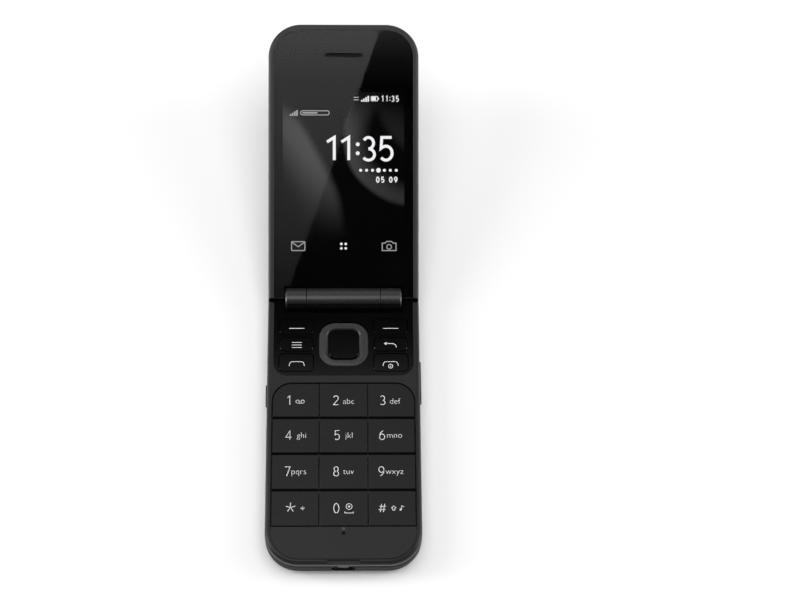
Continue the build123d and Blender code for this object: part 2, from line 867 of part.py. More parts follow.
dome_spots = [(x, y, dome_radius) for x, y in number_key_spots()]
dome_spots += [(x, along(s), small_dome_radius) for _, x, s, _, _, _ in function_spots()]
dome_spots += [(0, along(ring_s), small_dome_radius)]
for across, down in ((1, 0), (-1, 0), (0, 1), (0, -1)):
    dome_spots.append((across * web_nub_offset, along(ring_s) + down * web_nub_offset, small_dome_radius))
with BuildPart() as key_domes:
    # Four-legged snap domes: an eight-sided outline that rises to a flat crown
    for x, y, radius in dome_spots:
        with BuildSketch(Plane.XY.offset(board_top_face)):
            with Locations((x, y)):
                RegularPolygon(radius, dome_sides)
        with BuildSketch(Plane.XY.offset(board_top_face + dome_height)):
            with Locations((x, y)):
                RegularPolygon(radius * dome_crown, dome_sides)
        loft()
key_domes.part.label = "key_domes"
export_step(key_domes.part, "parts/key_domes.step")

with BuildPart() as main_board:
    with BuildSketch(Plane.XY.offset(board_bottom_face)):
        with Locations((0, (along(board_top) + along(board_bottom)) / 2)):
            board = Rectangle(board_width, board_bottom - board_top)
        fillet(board.vertices().group_by(Axis.Y)[0], board_corner)
        with Locations(*screw_spots()):
            Circle(boss_radius + boss_gap, mode=Mode.SUBTRACT)
        # The socket sinks into a notch in the board's end
        with Locations((0, along(base_length - usb_depth - wall_inner))):
            Rectangle(
                usb_width + 2 * boss_gap,
                usb_depth * 2,
                align=(Align.CENTER, Align.MAX),
                mode=Mode.SUBTRACT,
            )
        for side, s, length in (
            (-1, emergency_s, emergency_length),
            (1, volume_s, volume_length),
        ):
            inner = half_width - wall_inner - side_flange_offset - side_flange_thickness - key_travel
            with Locations((side * inner, along(s))):
                Rectangle(
                    2 * (switch_depth + seat),
                    length + 2 * (flange_reach + side_key_gap),
                    mode=Mode.SUBTRACT,
                )
    extrude(amount=board_thickness)
main_board.part.label = "main_board"
export_step(main_board.part, "parts/main_board.step")

with BuildPart() as board_shields:
    with BuildSketch(Plane.XY.offset(board_bottom_face)):
        with Locations((shield_x, along(shield_s))):
            Rectangle(shield_width, shield_length)
    extrude(amount=-shield_height)
    fillet(board_shields.edges().filter_by(Axis.Z), shield_wall)
    with BuildSketch(Plane.XY.offset(board_bottom_face)):
        with Locations((shield_x, along(shield_s))):
            Rectangle(shield_width - 2 * shield_wall, shield_length - 2 * shield_wall)
    extrude(amount=-(shield_height - shield_wall), mode=Mode.SUBTRACT)
board_shields.part.label = "board_shields"
export_step(board_shields.part, "parts/board_shields.step")

with BuildPart() as battery:
    with BuildSketch(Plane.XY.offset(battery_floor)):
        with Locations((0, along(battery_s))):
            Rectangle(battery_width, battery_length)
    extrude(amount=battery_thickness)
    fillet(battery.edges().filter_by(Axis.Y), battery_corner)
battery.part.label = "battery"
export_step(battery.part, "parts/battery.step")

with BuildPart() as battery_contacts:
    contact_face = battery_s - battery_length / 2 - blade_reach
    with BuildSketch(Plane.XY.offset(plate_height)):
        with Locations((0, along(contact_face))):
            Rectangle(contact_width, contact_depth, align=(Align.CENTER, Align.MIN))
    extrude(amount=-contact_height)
    # Spring blades that press on the battery's end
    with BuildSketch(Plane.XY.offset(plate_height - contact_height / 2)):
        with Locations((0, along(contact_face))):
            with GridLocations(blade_pitch, 0, blade_count, 1):
                Rectangle(blade_width, blade_reach - seat, align=(Align.CENTER, Align.MAX))
    extrude(amount=blade_thickness, both=True)
battery_contacts.part.label = "battery_contacts"
export_step(battery_contacts.part, "parts/battery_contacts.step")

with BuildPart() as sim_card_holder:
    with BuildSketch(Plane.XY.offset(board_bottom_face)):
        with Locations((0, along(sim_s))):
            Rectangle(sim_width, sim_length)
    extrude(amount=-(plate_thickness - seat))
    # The card slides in from the bottom end
    with BuildSketch(Plane.XY.offset(board_bottom_face - sim_wall)):
        with Locations((0, along(sim_s + sim_length / 2))):
            Rectangle(
                sim_width - 2 * bay_wall,
                sim_length - bay_wall,
                align=(Align.CENTER, Align.MIN),
            )
    extrude(amount=-(plate_thickness - seat - 2 * sim_wall), mode=Mode.SUBTRACT)
sim_card_holder.part.label = "sim_card_holder"
export_step(sim_card_holder.part, "parts/sim_card_holder.step")

usb_face = base_length - cover_wall / 2
with BuildPart() as usb_socket:
    with BuildSketch(Plane.XZ.offset(-along(usb_face))):
        with Locations((0, usb_low + usb_height / 2)):
            shell = Rectangle(usb_width, usb_height)
        chamfer(shell.vertices().group_by(Axis.Y)[0], usb_height / 4)
    extrude(amount=-usb_depth)
    with BuildSketch(Plane.XZ.offset(-along(usb_face))):
        with Locations((0, usb_low + usb_height / 2)):
            mouth = Rectangle(usb_width - 2 * usb_wall, usb_height - 2 * usb_wall)
        chamfer(mouth.vertices().group_by(Axis.Y)[0], usb_height / 4)
        with Locations((0, usb_low + usb_height - 2 * usb_tongue)):
            Rectangle(usb_width / 2, usb_tongue, mode=Mode.SUBTRACT)
    extrude(amount=-(usb_depth - usb_wall), mode=Mode.SUBTRACT)
usb_socket.part.label = "usb_socket"
export_step(usb_socket.part, "parts/usb_socket.step")

jack_mouth = half_width - loose
with BuildPart() as audio_jack:
    with BuildSketch(Plane.YZ.offset(-(half_width - wall_inner - seat))):
        with Locations((along(jack_s), jack_height)):
            RectangleRounded(jack_body, jack_body, shield_wall)
    extrude(amount=jack_depth + jack_back - (wall_inner + seat - loose))
    with BuildSketch(Plane.YZ.offset(-jack_mouth)):
        with Locations((along(jack_s), jack_height)):
            Circle(jack_sleeve_radius)
    extrude(amount=jack_mouth - half_width + wall_inner + seat)
    with BuildSketch(Plane.YZ.offset(-jack_mouth)):
        with Locations((along(jack_s), jack_height)):
            Circle(jack_radius)
    extrude(amount=jack_depth, mode=Mode.SUBTRACT)
audio_jack.part.label = "audio_jack"
export_step(audio_jack.part, "parts/audio_jack.step")

with BuildPart() as loudspeaker:
    with BuildSketch(Plane.XY.offset(plate_height)):
        with Locations((-speaker_x, along(speaker_s))):
            RectangleRounded(speaker_width, speaker_length, battery_corner)
    extrude(amount=-speaker_height)
    # Shallow well round the diaphragm
    with BuildSketch(Plane.XY.offset(plate_height - speaker_height)):
        with Locations((-speaker_x, along(speaker_s))):
            SlotOverall(speaker_width - 2 * battery_corner, speaker_length - 2 * battery_corner)
    extrude(amount=speaker_height / 6, mode=Mode.SUBTRACT)
loudspeaker.part.label = "loudspeaker"
export_step(loudspeaker.part, "parts/loudspeaker.step")

with BuildPart() as microphone:
    with BuildSketch(Plane.XY.offset(board_top_face)):
        with Locations((0, along(mic_s))):
            Rectangle(mic_width, mic_length)
    extrude(amount=mic_height)
    with BuildSketch(Plane.XY.offset(board_top_face + mic_height)):
        with Locations((0, along(mic_s))):
            Circle(mic_hole_radius)
    extrude(amount=-mic_height / 2, mode=Mode.SUBTRACT)
microphone.part.label = "microphone"
export_step(microphone.part, "parts/microphone.step")

with BuildPart() as vibration_motor:
    with BuildSketch(Plane.XY.offset(plate_height)):
        with Locations((motor_x, along(motor_s))):
            Circle(motor_radius)
    extrude(amount=-motor_height)
vibration_motor.part.label = "vibration_motor"
export_step(vibration_motor.part, "parts/vibration_motor.step")

with BuildPart() as camera_module:
    with BuildSketch(Plane.XY.offset(plate_height)):
        with Locations((0, along(camera_s))):
            RectangleRounded(camera_size, camera_size, shield_wall)
    extrude(amount=-camera_height)
    with BuildSketch(Plane.XY.offset(plate_height - camera_height)):
        with Locations((0, along(camera_s))):
            Circle(camera_barrel_radius)
    extrude(amount=-(plate_height - camera_height - lens_sink - lens_thickness - seat))
camera_module.part.label = "camera_module"
export_step(camera_module.part, "parts/camera_module.step")

with BuildPart() as camera_lens:
    with BuildSketch(Plane.XY.offset(lens_sink)):
        with Locations((0, along(camera_s))):
            Circle(camera_window_radius - seat)
    extrude(amount=lens_thickness)
    chamfer(camera_lens.faces().sort_by(Axis.Z)[0].edges(), lens_sink)
camera_lens.part.label = "camera_lens"
export_step(camera_lens.part, "parts/camera_lens.step")

with BuildPart() as flash_lens:
    with BuildSketch(Plane.XY.offset(lens_sink)):
        with Locations((flash_x, along(camera_s))):
            Circle(flash_radius)
    extrude(amount=flash_height)
    chamfer(flash_lens.faces().sort_by(Axis.Z)[0].edges(), key_edge)
flash_lens.part.label = "flash_lens"
export_step(flash_lens.part, "parts/flash_lens.step")

switch_face = half_width - wall_inner - side_flange_offset - side_flange_thickness
switch_face -= key_travel + key_stop
with BuildPart() as side_key_switches:
    for side, s in (
        (-1, emergency_s),
        (1, volume_s - volume_switch_offset),
        (1, volume_s + volume_switch_offset),
    ):
        with BuildSketch(Plane.YZ.offset(side * switch_face)):
            with Locations((along(s), side_key_low + side_key_height / 2)):
                Rectangle(switch_length, switch_height)
        extrude(amount=-side * switch_depth)
side_key_switches.part.label = "side_key_switches"
export_step(side_key_switches.part, "parts/side_key_switches.step")

with BuildPart() as base_screws:
    with BuildSketch(Plane.XY.offset(plate_height)):
        with Locations(*screw_spots()):
            Circle(screw_head_radius)
    extrude(amount=-screw_head_height)
    with BuildSketch(Plane.XY.offset(plate_height)):
        with Locations(*screw_spots()):
            Circle(screw_radius)
    extrude(amount=screw_length)
    # Hexalobular drive, kept to a plain hexagon
    with BuildSketch(Plane.XY.offset(plate_height - screw_head_height)):
        with Locations(*screw_spots()):
            RegularPolygon(screw_head_radius / 2, 6)
    extrude(amount=screw_head_height / 2, mode=Mode.SUBTRACT)
base_screws.part.label = "base_screws"
export_step(base_screws.part, "parts/base_screws.step")

# ------------------------------------------------------------------ the hinge

spigot_radius = shaft_head_radius - seat
shaft_end = cap_start - spigot_length - seat
with BuildPart() as hinge_caps:
    for side in (-1, 1):
        with BuildSketch(hinge_plane.offset(side * cap_start)):
            Circle(barrel_radius)
        extrude(amount=side * cap_thickness)
        with BuildSketch(hinge_plane.offset(side * cap_start)):
            Circle(spigot_radius)
        extrude(amount=-side * spigot_length)
        outer_face = hinge_caps.faces().sort_by(Axis.X)[-1 if side > 0 else 0]
        chamfer(outer_face.edges(), cap_round)
hinge_caps.part.label = "hinge_caps"
export_step(hinge_caps.part, "parts/hinge_caps.step")

with BuildPart() as hinge_shaft:
    with BuildSketch(hinge_plane.offset(shaft_end - shaft_head_length)):
        Circle(shaft_head_radius)
    extrude(amount=shaft_head_length)
    with BuildSketch(hinge_plane.offset(shaft_end - shaft_head_length)):
        Circle(shaft_radius)
    extrude(amount=-(cam_length - running_fit))
    chamfer(hinge_shaft.faces().sort_by(Axis.X)[-1].edges(), key_edge)
hinge_shaft.part.label = "hinge_shaft"
export_step(hinge_shaft.part, "parts/hinge_shaft.step")

with BuildPart() as hinge_flex_bush:
    with BuildSketch(hinge_plane.offset(-shaft_end)):
        Circle(bore_radius - running_fit)
        Circle(bore_radius - running_fit - bush_wall, mode=Mode.SUBTRACT)
    extrude(amount=bush_length)
hinge_flex_bush.part.label = "hinge_flex_bush"
export_step(hinge_flex_bush.part, "parts/hinge_flex_bush.step")

with BuildPart() as hinge_cam_unit:
    with BuildSketch(hinge_plane.offset(centre_length / 2)):
        Circle(bore_radius)
        Circle(shaft_radius + running_fit, mode=Mode.SUBTRACT)
    extrude(amount=-cam_length)
    chamfer(hinge_cam_unit.faces().sort_by(Axis.X)[0].edges().sort_by(SortBy.LENGTH)[-1], key_edge)
hinge_cam_unit.part.label = "hinge_cam_unit"
export_step(hinge_cam_unit.part, "parts/hinge_cam_unit.step")

with BuildPart() as hinge_barrel:
    with BuildSketch(hinge_plane.offset(-centre_length / 2)):
        Circle(barrel_radius)
    extrude(amount=centre_length)
    for end in (0, -1):
        chamfer(hinge_barrel.faces().sort_by(Axis.X)[end].edges(), seat * 2)
    with BuildSketch(hinge_plane.offset(-centre_length / 2)):
        Circle(bore_radius)
    extrude(amount=centre_length, mode=Mode.SUBTRACT)
hinge_barrel.part.label = "hinge_barrel"
export_step(hinge_barrel.part, "parts/hinge_barrel.step")

# -------------------------------------------------------------------- the lid

lid_up = Axis((0, 0, 0), tuple(lid_plane.z_dir))
lid_along = Axis((0, 0, 0), tuple(lid_plane.y_dir))

with BuildPart() as lid_inner_frame:
    with BuildSketch(lid_plane.offset(lid_split)):
        lid_outline()
    extrude(amount=lid_face - lid_split)
    inner_edges = lid_inner_frame.faces().sort_by(lid_up)[-1].edges()
    inner_hinge_edge = inner_edges.sort_by(lid_along)[0]
    fillet(inner_edges.filter_by(lambda edge: edge != inner_hinge_edge), lid_rim_round)
    split(bisect_by=end_plane(end_gap / 2, -1), keep=Keep.BOTTOM)
    with BuildSketch(lid_plane.offset(lid_split)):
        lid_outline(inset=lid_wall, hinge_end=-(scoop_radius + lid_wall))
    extrude(amount=deck_bottom - lid_split, mode=Mode.SUBTRACT)
    # Seat of the glass
    with BuildSketch(lid_plane.offset(lid_face)):
        glass_outline(grow=glass_gap)
    extrude(amount=glass_bottom - lid_face, mode=Mode.SUBTRACT)
    # Display window, pocket for the mesh and slot for the sound
    with BuildSketch(lid_plane.offset(glass_bottom)):
        with Locations((0, display_s)):
            Rectangle(display_width + 2 * seat, display_length + 2 * seat)
        with Locations((0, earpiece_s)):
            SlotOverall(earpiece_width, earpiece_height)
    extrude(amount=deck_bottom - glass_bottom, mode=Mode.SUBTRACT)
    with BuildSketch(lid_plane.offset(glass_bottom)):
        with Locations((0, earpiece_s)):
            Rectangle(mesh_width + 2 * seat, mesh_height + 2 * seat)
    extrude(amount=-mesh_thickness, mode=Mode.SUBTRACT)
    clear_hinge()
lid_inner_frame.part.label = "lid_inner_frame"
export_step(lid_inner_frame.part, "parts/lid_inner_frame.step")

with BuildPart() as lid_inner_glass:
    with BuildSketch(lid_plane.offset(glass_bottom)):
        glass_outline()
        with Locations((0, earpiece_s)):
            SlotOverall(earpiece_width, earpiece_height, mode=Mode.SUBTRACT)
    extrude(amount=glass_thickness)
lid_inner_glass.part.label = "lid_inner_glass"
export_step(lid_inner_glass.part, "parts/lid_inner_glass.step")

with BuildPart() as lid_outer_shell:
    with BuildSketch(lid_plane.offset(-lid_thickness)):
        lid_outline()
    extrude(amount=lid_split + lid_thickness)
    outer_edges = lid_outer_shell.faces().sort_by(lid_up)[0].edges()
    outer_hinge_edge = outer_edges.sort_by(lid_along)[0]
    fillet(outer_edges.filter_by(lambda edge: edge != outer_hinge_edge), lid_edge)
    split(bisect_by=end_plane(end_gap / 2, -1), keep=Keep.BOTTOM)
    with BuildSketch(lid_plane.offset(lid_split)):
        lid_outline(inset=lid_wall, hinge_end=-(scoop_radius + lid_wall))
    extrude(amount=lid_wall - lid_thickness - lid_split, mode=Mode.SUBTRACT)
    # Recess of the outer glass, and the window behind it
    with BuildSketch(lid_plane.offset(-lid_thickness)):
        outer_glass_outline(grow=glass_gap)
    extrude(amount=glass_thickness, mode=Mode.SUBTRACT)
    with BuildSketch(lid_plane.offset(-lid_thickness)):
        with Locations((0, outer_display_s)):
            Rectangle(outer_display_width + 2 * seat, outer_display_length + 2 * seat)
    extrude(amount=lid_wall, mode=Mode.SUBTRACT)
    clear_hinge()
lid_outer_shell.part.label = "lid_outer_shell"
export_step(lid_outer_shell.part, "parts/lid_outer_shell.step")

with BuildPart() as lid_outer_glass:
    with BuildSketch(lid_plane.offset(-lid_thickness)):
        lid_outline()
    extrude(amount=lid_split + lid_thickness)
    pane_edges = lid_outer_glass.faces().sort_by(lid_up)[0].edges()
    pane_hinge_edge = pane_edges.sort_by(lid_along)[0]
    fillet(pane_edges.filter_by(lambda edge: edge != pane_hinge_edge), lid_edge)
    split(bisect_by=end_plane(end_gap / 2, -1), keep=Keep.BOTTOM)
    with BuildSketch(lid_plane.offset(-lid_thickness)):
        outer_glass_outline()
    extrude(amount=glass_thickness - seat, mode=Mode.INTERSECT)
lid_outer_glass.part.label = "lid_outer_glass"
export_step(lid_outer_glass.part, "parts/lid_outer_glass.step")

with BuildPart() as main_display:
    with BuildSketch(lid_plane.offset(glass_bottom)):
        with Locations((0, display_s)):
            Rectangle(display_width, display_length)
    extrude(amount=-display_thickness)
main_display.part.label = "main_display"
export_step(main_display.part, "parts/main_display.step")

with BuildPart() as outer_display:
    with BuildSketch(lid_plane.offset(-lid_thickness + glass_thickness)):
        with Locations((0, outer_display_s)):
            Rectangle(outer_display_width, outer_display_length)
    extrude(amount=outer_display_thickness)
outer_display.part.label = "outer_display"
export_step(outer_display.part, "parts/outer_display.step")

with BuildPart() as lid_board:
    with BuildSketch(lid_plane.offset(glass_bottom - display_thickness - seat)):
        with Locations((0, lid_board_s)):
            board_shape = Rectangle(lid_board_width, lid_board_length)
        chamfer(board_shape.vertices().group_by(Axis.Y)[-1], battery_corner)
    extrude(amount=-lid_board_thickness)
lid_board.part.label = "lid_board"
export_step(lid_board.part, "parts/lid_board.step")

with BuildPart() as earpiece_speaker:
    with BuildSketch(lid_plane.offset(deck_bottom)):
        with Locations((0, earpiece_s)):
            RectangleRounded(earpiece_box_width, earpiece_box_height, battery_corner)
    extrude(amount=-earpiece_box_depth)
earpiece_speaker.part.label = "earpiece_speaker"
export_step(earpiece_speaker.part, "parts/earpiece_speaker.step")

with BuildPart() as earpiece_mesh:
    with BuildSketch(lid_plane.offset(glass_bottom)):
        with Locations((0, earpiece_s)):
            Rectangle(mesh_width, mesh_height)
    extrude(amount=-mesh_thickness)
earpiece_mesh.part.label = "earpiece_mesh"
export_step(earpiece_mesh.part, "parts/earpiece_mesh.step")

with BuildPart() as lid_magnet:
    with BuildSketch(lid_plane.offset(deck_bottom)):
        with Locations((magnet_x, magnet_s)):
            Rectangle(magnet_width, magnet_length)
    extrude(amount=-magnet_thickness)
lid_magnet.part.label = "lid_magnet"
export_step(lid_magnet.part, "parts/lid_magnet.step")
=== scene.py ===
import json
import math

import bmesh
import bpy
from mathutils import Matrix, Vector


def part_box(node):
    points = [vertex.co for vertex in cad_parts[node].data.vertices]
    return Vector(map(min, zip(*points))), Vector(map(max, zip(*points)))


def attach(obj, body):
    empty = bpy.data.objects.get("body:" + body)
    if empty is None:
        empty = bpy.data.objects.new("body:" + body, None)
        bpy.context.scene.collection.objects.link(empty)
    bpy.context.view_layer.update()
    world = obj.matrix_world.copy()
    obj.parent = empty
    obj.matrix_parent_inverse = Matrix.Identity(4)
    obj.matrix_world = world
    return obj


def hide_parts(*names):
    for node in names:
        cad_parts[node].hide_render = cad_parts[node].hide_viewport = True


# Flip phone with a number keypad, its lid open, lying on its back.
# Places are in mm: x across, s along from the hinge axis, z up from the rest face or from the
# closing plane of the lid.

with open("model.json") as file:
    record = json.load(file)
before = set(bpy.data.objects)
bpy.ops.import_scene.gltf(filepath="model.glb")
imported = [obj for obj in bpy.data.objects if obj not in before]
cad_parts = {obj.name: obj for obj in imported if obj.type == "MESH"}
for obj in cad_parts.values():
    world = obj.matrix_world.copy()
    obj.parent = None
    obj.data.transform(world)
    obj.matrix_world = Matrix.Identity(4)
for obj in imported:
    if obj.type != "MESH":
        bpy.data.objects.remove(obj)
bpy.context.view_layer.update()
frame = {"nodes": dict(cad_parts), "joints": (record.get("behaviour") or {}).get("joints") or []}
mm = 0.001

hingeJoint = next(j for j in frame["joints"] if j["name"] == "lid_hinge")
hinge = Vector(hingeJoint["pos_m"])
lidLean = math.pi - math.radians(hingeJoint["range_deg"][1])
lidAlong = Vector((0, math.cos(lidLean), math.sin(lidLean)))
lidUp = Vector((0, -math.sin(lidLean), math.cos(lidLean)))


def drawnAt(spot):
    # what is drawn in mm goes to this spot
    return Matrix.Translation(spot) @ Matrix.Scale(mm, 4)


def basePlace(x, s, z):
    return drawnAt((x * mm, hinge.y - s * mm, z * mm))


def lidPlace(x, s, z):
    turn = Matrix((Vector((1, 0, 0)), lidAlong, lidUp)).transposed().to_4x4()
    spot = hinge + Vector((x * mm, 0, 0)) + lidAlong * s * mm + lidUp * z * mm
    return Matrix.Translation(spot) @ turn @ Matrix.Scale(mm, 4)


def topOf(node):
    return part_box(node)[1].z / mm


def middleOf(node):
    low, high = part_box(node)
    return (low + high) / 2


# Meshes

weldReach = 1e-7
samePoint = 1e-6
leastMitre = 0.45  # cosine below which a mitre grows no longer


def arcPoints(x, y, across, up, start, end, steps=12):
    points = []
    for k in range(steps + 1):
        a = math.radians(start + (end - start) * k / steps)
        points.append((x + across * math.cos(a), y + up * math.sin(a)))
    return points


def hoop(x, y, radius):
    # a circle for a stroke that closes
    return arcPoints(x, y, radius, radius, 0, 340, 17)


def roundedOutline(width, height, corner, middle=(0, 0), steps=8):
    # counter-clockwise, from the lower left corner
    w, h = width / 2 - corner, height / 2 - corner
    points = []
    for k, (across, up) in enumerate(((-1, -1), (1, -1), (1, 1), (-1, 1))):
        x, y = middle[0] + across * w, middle[1] + up * h
        start = (180 + 90 * k) % 360
        points += arcPoints(x, y, corner, corner, start, start + 90, steps)
    return points


def insetLoop(loop, ease):
    # the outline moved inwards by ease, or outwards where it runs clockwise
    if not ease:
        return loop
    moved = []
    for k, point in enumerate(loop):
        before = Vector(point) - Vector(loop[k - 1])
        after = Vector(loop[(k + 1) % len(loop)]) - Vector(point)
        if before.length < samePoint:
            before = after
        if after.length < samePoint:
            after = before
        side = (before.normalized() + after.normalized()).normalized()
        moved.append((point[0] - side.y * ease, point[1] + side.x * ease))
    return moved


def joinRings(bm, a, b):
    for k in range(len(a)):
        n = (k + 1) % len(a)
        bm.faces.new((a[k], a[n], b[n], b[k]))


def addPlate(bm, loops, low, high, place, bevel=0.0):
    # a closed plate on flat outlines: the first is its edge, and the others are holes
    levels = [(low, 0.0), (high, bevel)]
    if bevel:
        levels.insert(1, (high - bevel, 0.0))
    rims = []
    for height, ease in levels:
        eased = [insetLoop(loop, ease) for loop in loops]
        rims.append([[bm.verts.new((x, y, height)) for x, y in loop] for loop in eased])
    for lower, upper in zip(rims, rims[1:]):
        for a, b in zip(lower, upper):
            joinRings(bm, a, b)
    for rim in (rims[0], rims[-1]):
        edges = []
        for ring in rim:
            for k in range(len(ring)):
                edges.append(bm.edges.get((ring[k], ring[(k + 1) % len(ring)])))
        bmesh.ops.triangle_fill(bm, use_beauty=True, use_dissolve=False, edges=edges)
    for vertex in (vertex for rim in rims for ring in rim for vertex in ring):
        vertex.co = place @ vertex.co


def addDisc(bm, x, y, radius, low, high, place, sides=16):
    addPlate(bm, [arcPoints(x, y, radius, radius, 0, 360, sides)[:-1]], low, high, place)


def addRibbon(bm, points, width, low, high, place, closed=False):
    # a flat stroke of even width along a line of points, its joints mitred
    count = len(points)
    left, right = [], []
    for k in range(count):
        here = Vector(points[k])
        before = here - Vector(points[k - 1]) if k or closed else None
        after = Vector(points[(k + 1) % count]) - here if k < count - 1 or closed else None
        first = (before or after).normalized()
        second = (after or before).normalized()
        side = Vector((-first.y - second.y, first.x + second.x)).normalized()
        reach = width / 2 / max(side.dot(Vector((-first.y, first.x))), leastMitre)
        left.append(here + side * reach)
        right.append(here - side * reach)
    corners = []
    for line, height in ((left, high), (right, high), (right, low), (left, low)):
        corners.append([bm.verts.new(place @ Vector((p.x, p.y, height))) for p in line])
    for k in range(count if closed else count - 1):
        n = (k + 1) % count
        for a, b in zip(corners, corners[1:] + corners[:1]):
            bm.faces.new((a[k], b[k], b[n], a[n]))
    if not closed:
        for end in (0, -1):
            bm.faces.new([line[end] for line in corners])


def newPiece(name, mesh, material):
    piece = bpy.data.objects.new(name, mesh)
    bpy.context.scene.collection.objects.link(piece)
    piece.data.materials.clear()
    piece.data.materials.append(material)
    return piece


def closeMesh(bm, mesh, smoothAngle):
    bmesh.ops.remove_doubles(bm, verts=bm.verts, dist=weldReach)
    bmesh.ops.recalc_face_normals(bm, faces=bm.faces)
    bm.to_mesh(mesh)
    bm.free()
    if smoothAngle:
        mesh.shade_smooth()
        mesh.set_sharp_from_angle(angle=math.radians(smoothAngle))


def finishPiece(name, bm, material, smoothAngle=0):
    mesh = bpy.data.meshes.new(name)
    closeMesh(bm, mesh, smoothAngle)
    return newPiece(name, mesh, material)


# Camera

cameraSet = {
    "rise": 64.4,  # degrees above the floor
    "distance": 0.808,  # from the hinge axis
    "lens": 100.57,
    "sensor": 36.0,
    "imageWidth": 800,
    "imageHeight": 600,
    "middleColumn": 343.55,  # where the middle of the phone falls in the render
    "hingeRow": 300.2,
}


def makeCamera(s):
    data = bpy.data.cameras.new("viewCamera")
    data.lens = s["lens"]
    data.sensor_width = s["sensor"]
    camera = bpy.data.objects.new("viewCamera", data)
    bpy.context.scene.collection.objects.link(camera)
    rise = math.radians(s["rise"])
    away = Vector((0, -math.cos(rise), math.sin(rise)))
    focal = s["lens"] / s["sensor"] * s["imageWidth"]
    yaw = math.atan((s["imageWidth"] / 2 - s["middleColumn"]) / focal)
    pitch = math.atan((s["hingeRow"] - s["imageHeight"] / 2) / focal)
    look = Matrix.Rotation(math.pi / 2 - rise, 4, "X")
    look = look @ Matrix.Rotation(-yaw, 4, "Y") @ Matrix.Rotation(pitch, 4, "X")
    camera.matrix_world = Matrix.Translation(hinge + away * s["distance"]) @ look
    bpy.context.scene.camera = camera
    bpy.context.view_layer.update()
    return camera


viewCamera = makeCamera(cameraSet)
print("camera placed")


# Nodes

def fill(tree, sockets, values):
    # each value is plain, or the output that feeds the socket
    for label, value in values.items():
        if hasattr(value, "is_linked"):
            tree.links.new(value, sockets[label])
        else:
            sockets[label].default_value = value


def fillNode(tree, node, values):
    fill(tree, node.inputs, values)
    return node.outputs


def addNode(tree, kind, values):
    return fillNode(tree, tree.nodes.new(kind), values)


def addMath(tree, operation, *values):
    node = tree.nodes.new("ShaderNodeMath")
    node.operation = operation
    return fillNode(tree, node, dict(enumerate(values)))[0]


def addVectorMath(tree, operation, *values):
    node = tree.nodes.new("ShaderNodeVectorMath")
    node.operation = operation
    return fillNode(tree, node, dict(enumerate(values)))


def multiply(tree, first, *others):
    for other in others:
        first = addMath(tree, "MULTIPLY", first, other)
    return first


def addNoise(tree, vector, scale, detail=2.0, rough=0.5):
    values = {"Vector": vector, "Scale": scale, "Detail": detail, "Roughness": rough}
    return addNode(tree, "ShaderNodeTexNoise", values)["Fac"]


def addRange(tree, value, fromLow, fromHigh, toLow=0.0, toHigh=1.0, smooth=False):
    node = tree.nodes.new("ShaderNodeMapRange")
    node.interpolation_type = "SMOOTHSTEP" if smooth else "LINEAR"
    return fillNode(tree, node, {
        "Value": value,
        "From Min": fromLow, "From Max": fromHigh,
        "To Min": toLow, "To Max": toHigh,
    })["Result"]


def addMix(tree, share, first, second):
    node = tree.nodes.new("ShaderNodeMix")
    node.data_type = "RGBA"
    return fillNode(tree, node, {0: share, 6: first, 7: second})[2]  # its sockets for colours


def addSplit(tree, vector):
    return addNode(tree, "ShaderNodeSeparateXYZ", {0: vector})


def objectPlace(tree, scale=(1, 1, 1), turn=(0, 0, 0), shift=(0, 0, 0)):
    place = addNode(tree, "ShaderNodeTexCoord", {})["Object"]
    values = {"Vector": place, "Scale": scale, "Rotation": turn, "Location": shift}
    return addNode(tree, "ShaderNodeMapping", values)["Vector"]


def socketKind(value):
    if isinstance(value, tuple):
        return "Color" if len(value) == 4 else "Vector"
    return "Int" if isinstance(value, int) else "Float"


def newTree(family, name, inputs, outputs):
    # a socket has its first value, or the name of its kind where it has none
    tree = bpy.data.node_groups.new(name, family + "NodeTree")
    for way, sockets in (("INPUT", inputs), ("OUTPUT", outputs)):
        for label, value in sockets.items():
            kind = value if isinstance(value, str) else socketKind(value)
            socket = tree.interface.new_socket(label, in_out=way, socket_type="NodeSocket" + kind)
            if kind != value:
                socket.default_value = value
    source, result = tree.nodes.new("NodeGroupInput"), tree.nodes.new("NodeGroupOutput")
    return tree, source.outputs, result.inputs


# Shader groups

grainSet = {
    "fine": (3, 0.6),  # detail and roughness of the noise
    "fineShare": 0.6,
    "broadShare": 0.4,
}


def makeMouldGrain(s):
    group, source, result = newTree(
        "Shader", "mouldGrain", {"Grain": 0.0003, "Wave": 0.01}, {"Height": "Float"}
    )
    place = objectPlace(group)
    fine = addNoise(group, place, addMath(group, "DIVIDE", 1.0, source["Grain"]), *s["fine"])
    broad = addNoise(group, place, addMath(group, "DIVIDE", 1.0, source["Wave"]), 1)
    fine = multiply(group, fine, s["fineShare"])
    height = addMath(group, "MULTIPLY_ADD", broad, s["broadShare"], fine)
    fill(group, result, {"Height": height})
    return group


handledSet = {
    "patch": (4, 0.6),  # detail and roughness of the noise
    "speckScale": 2600.0,
    "speck": (0.70, 0.78),  # from clean to dusty
    "drift": (0.45, 0.75, 0.2, 1.0),  # where the dust lies thinner
    "dustColour": (0.5, 0.48, 0.45, 1),
}


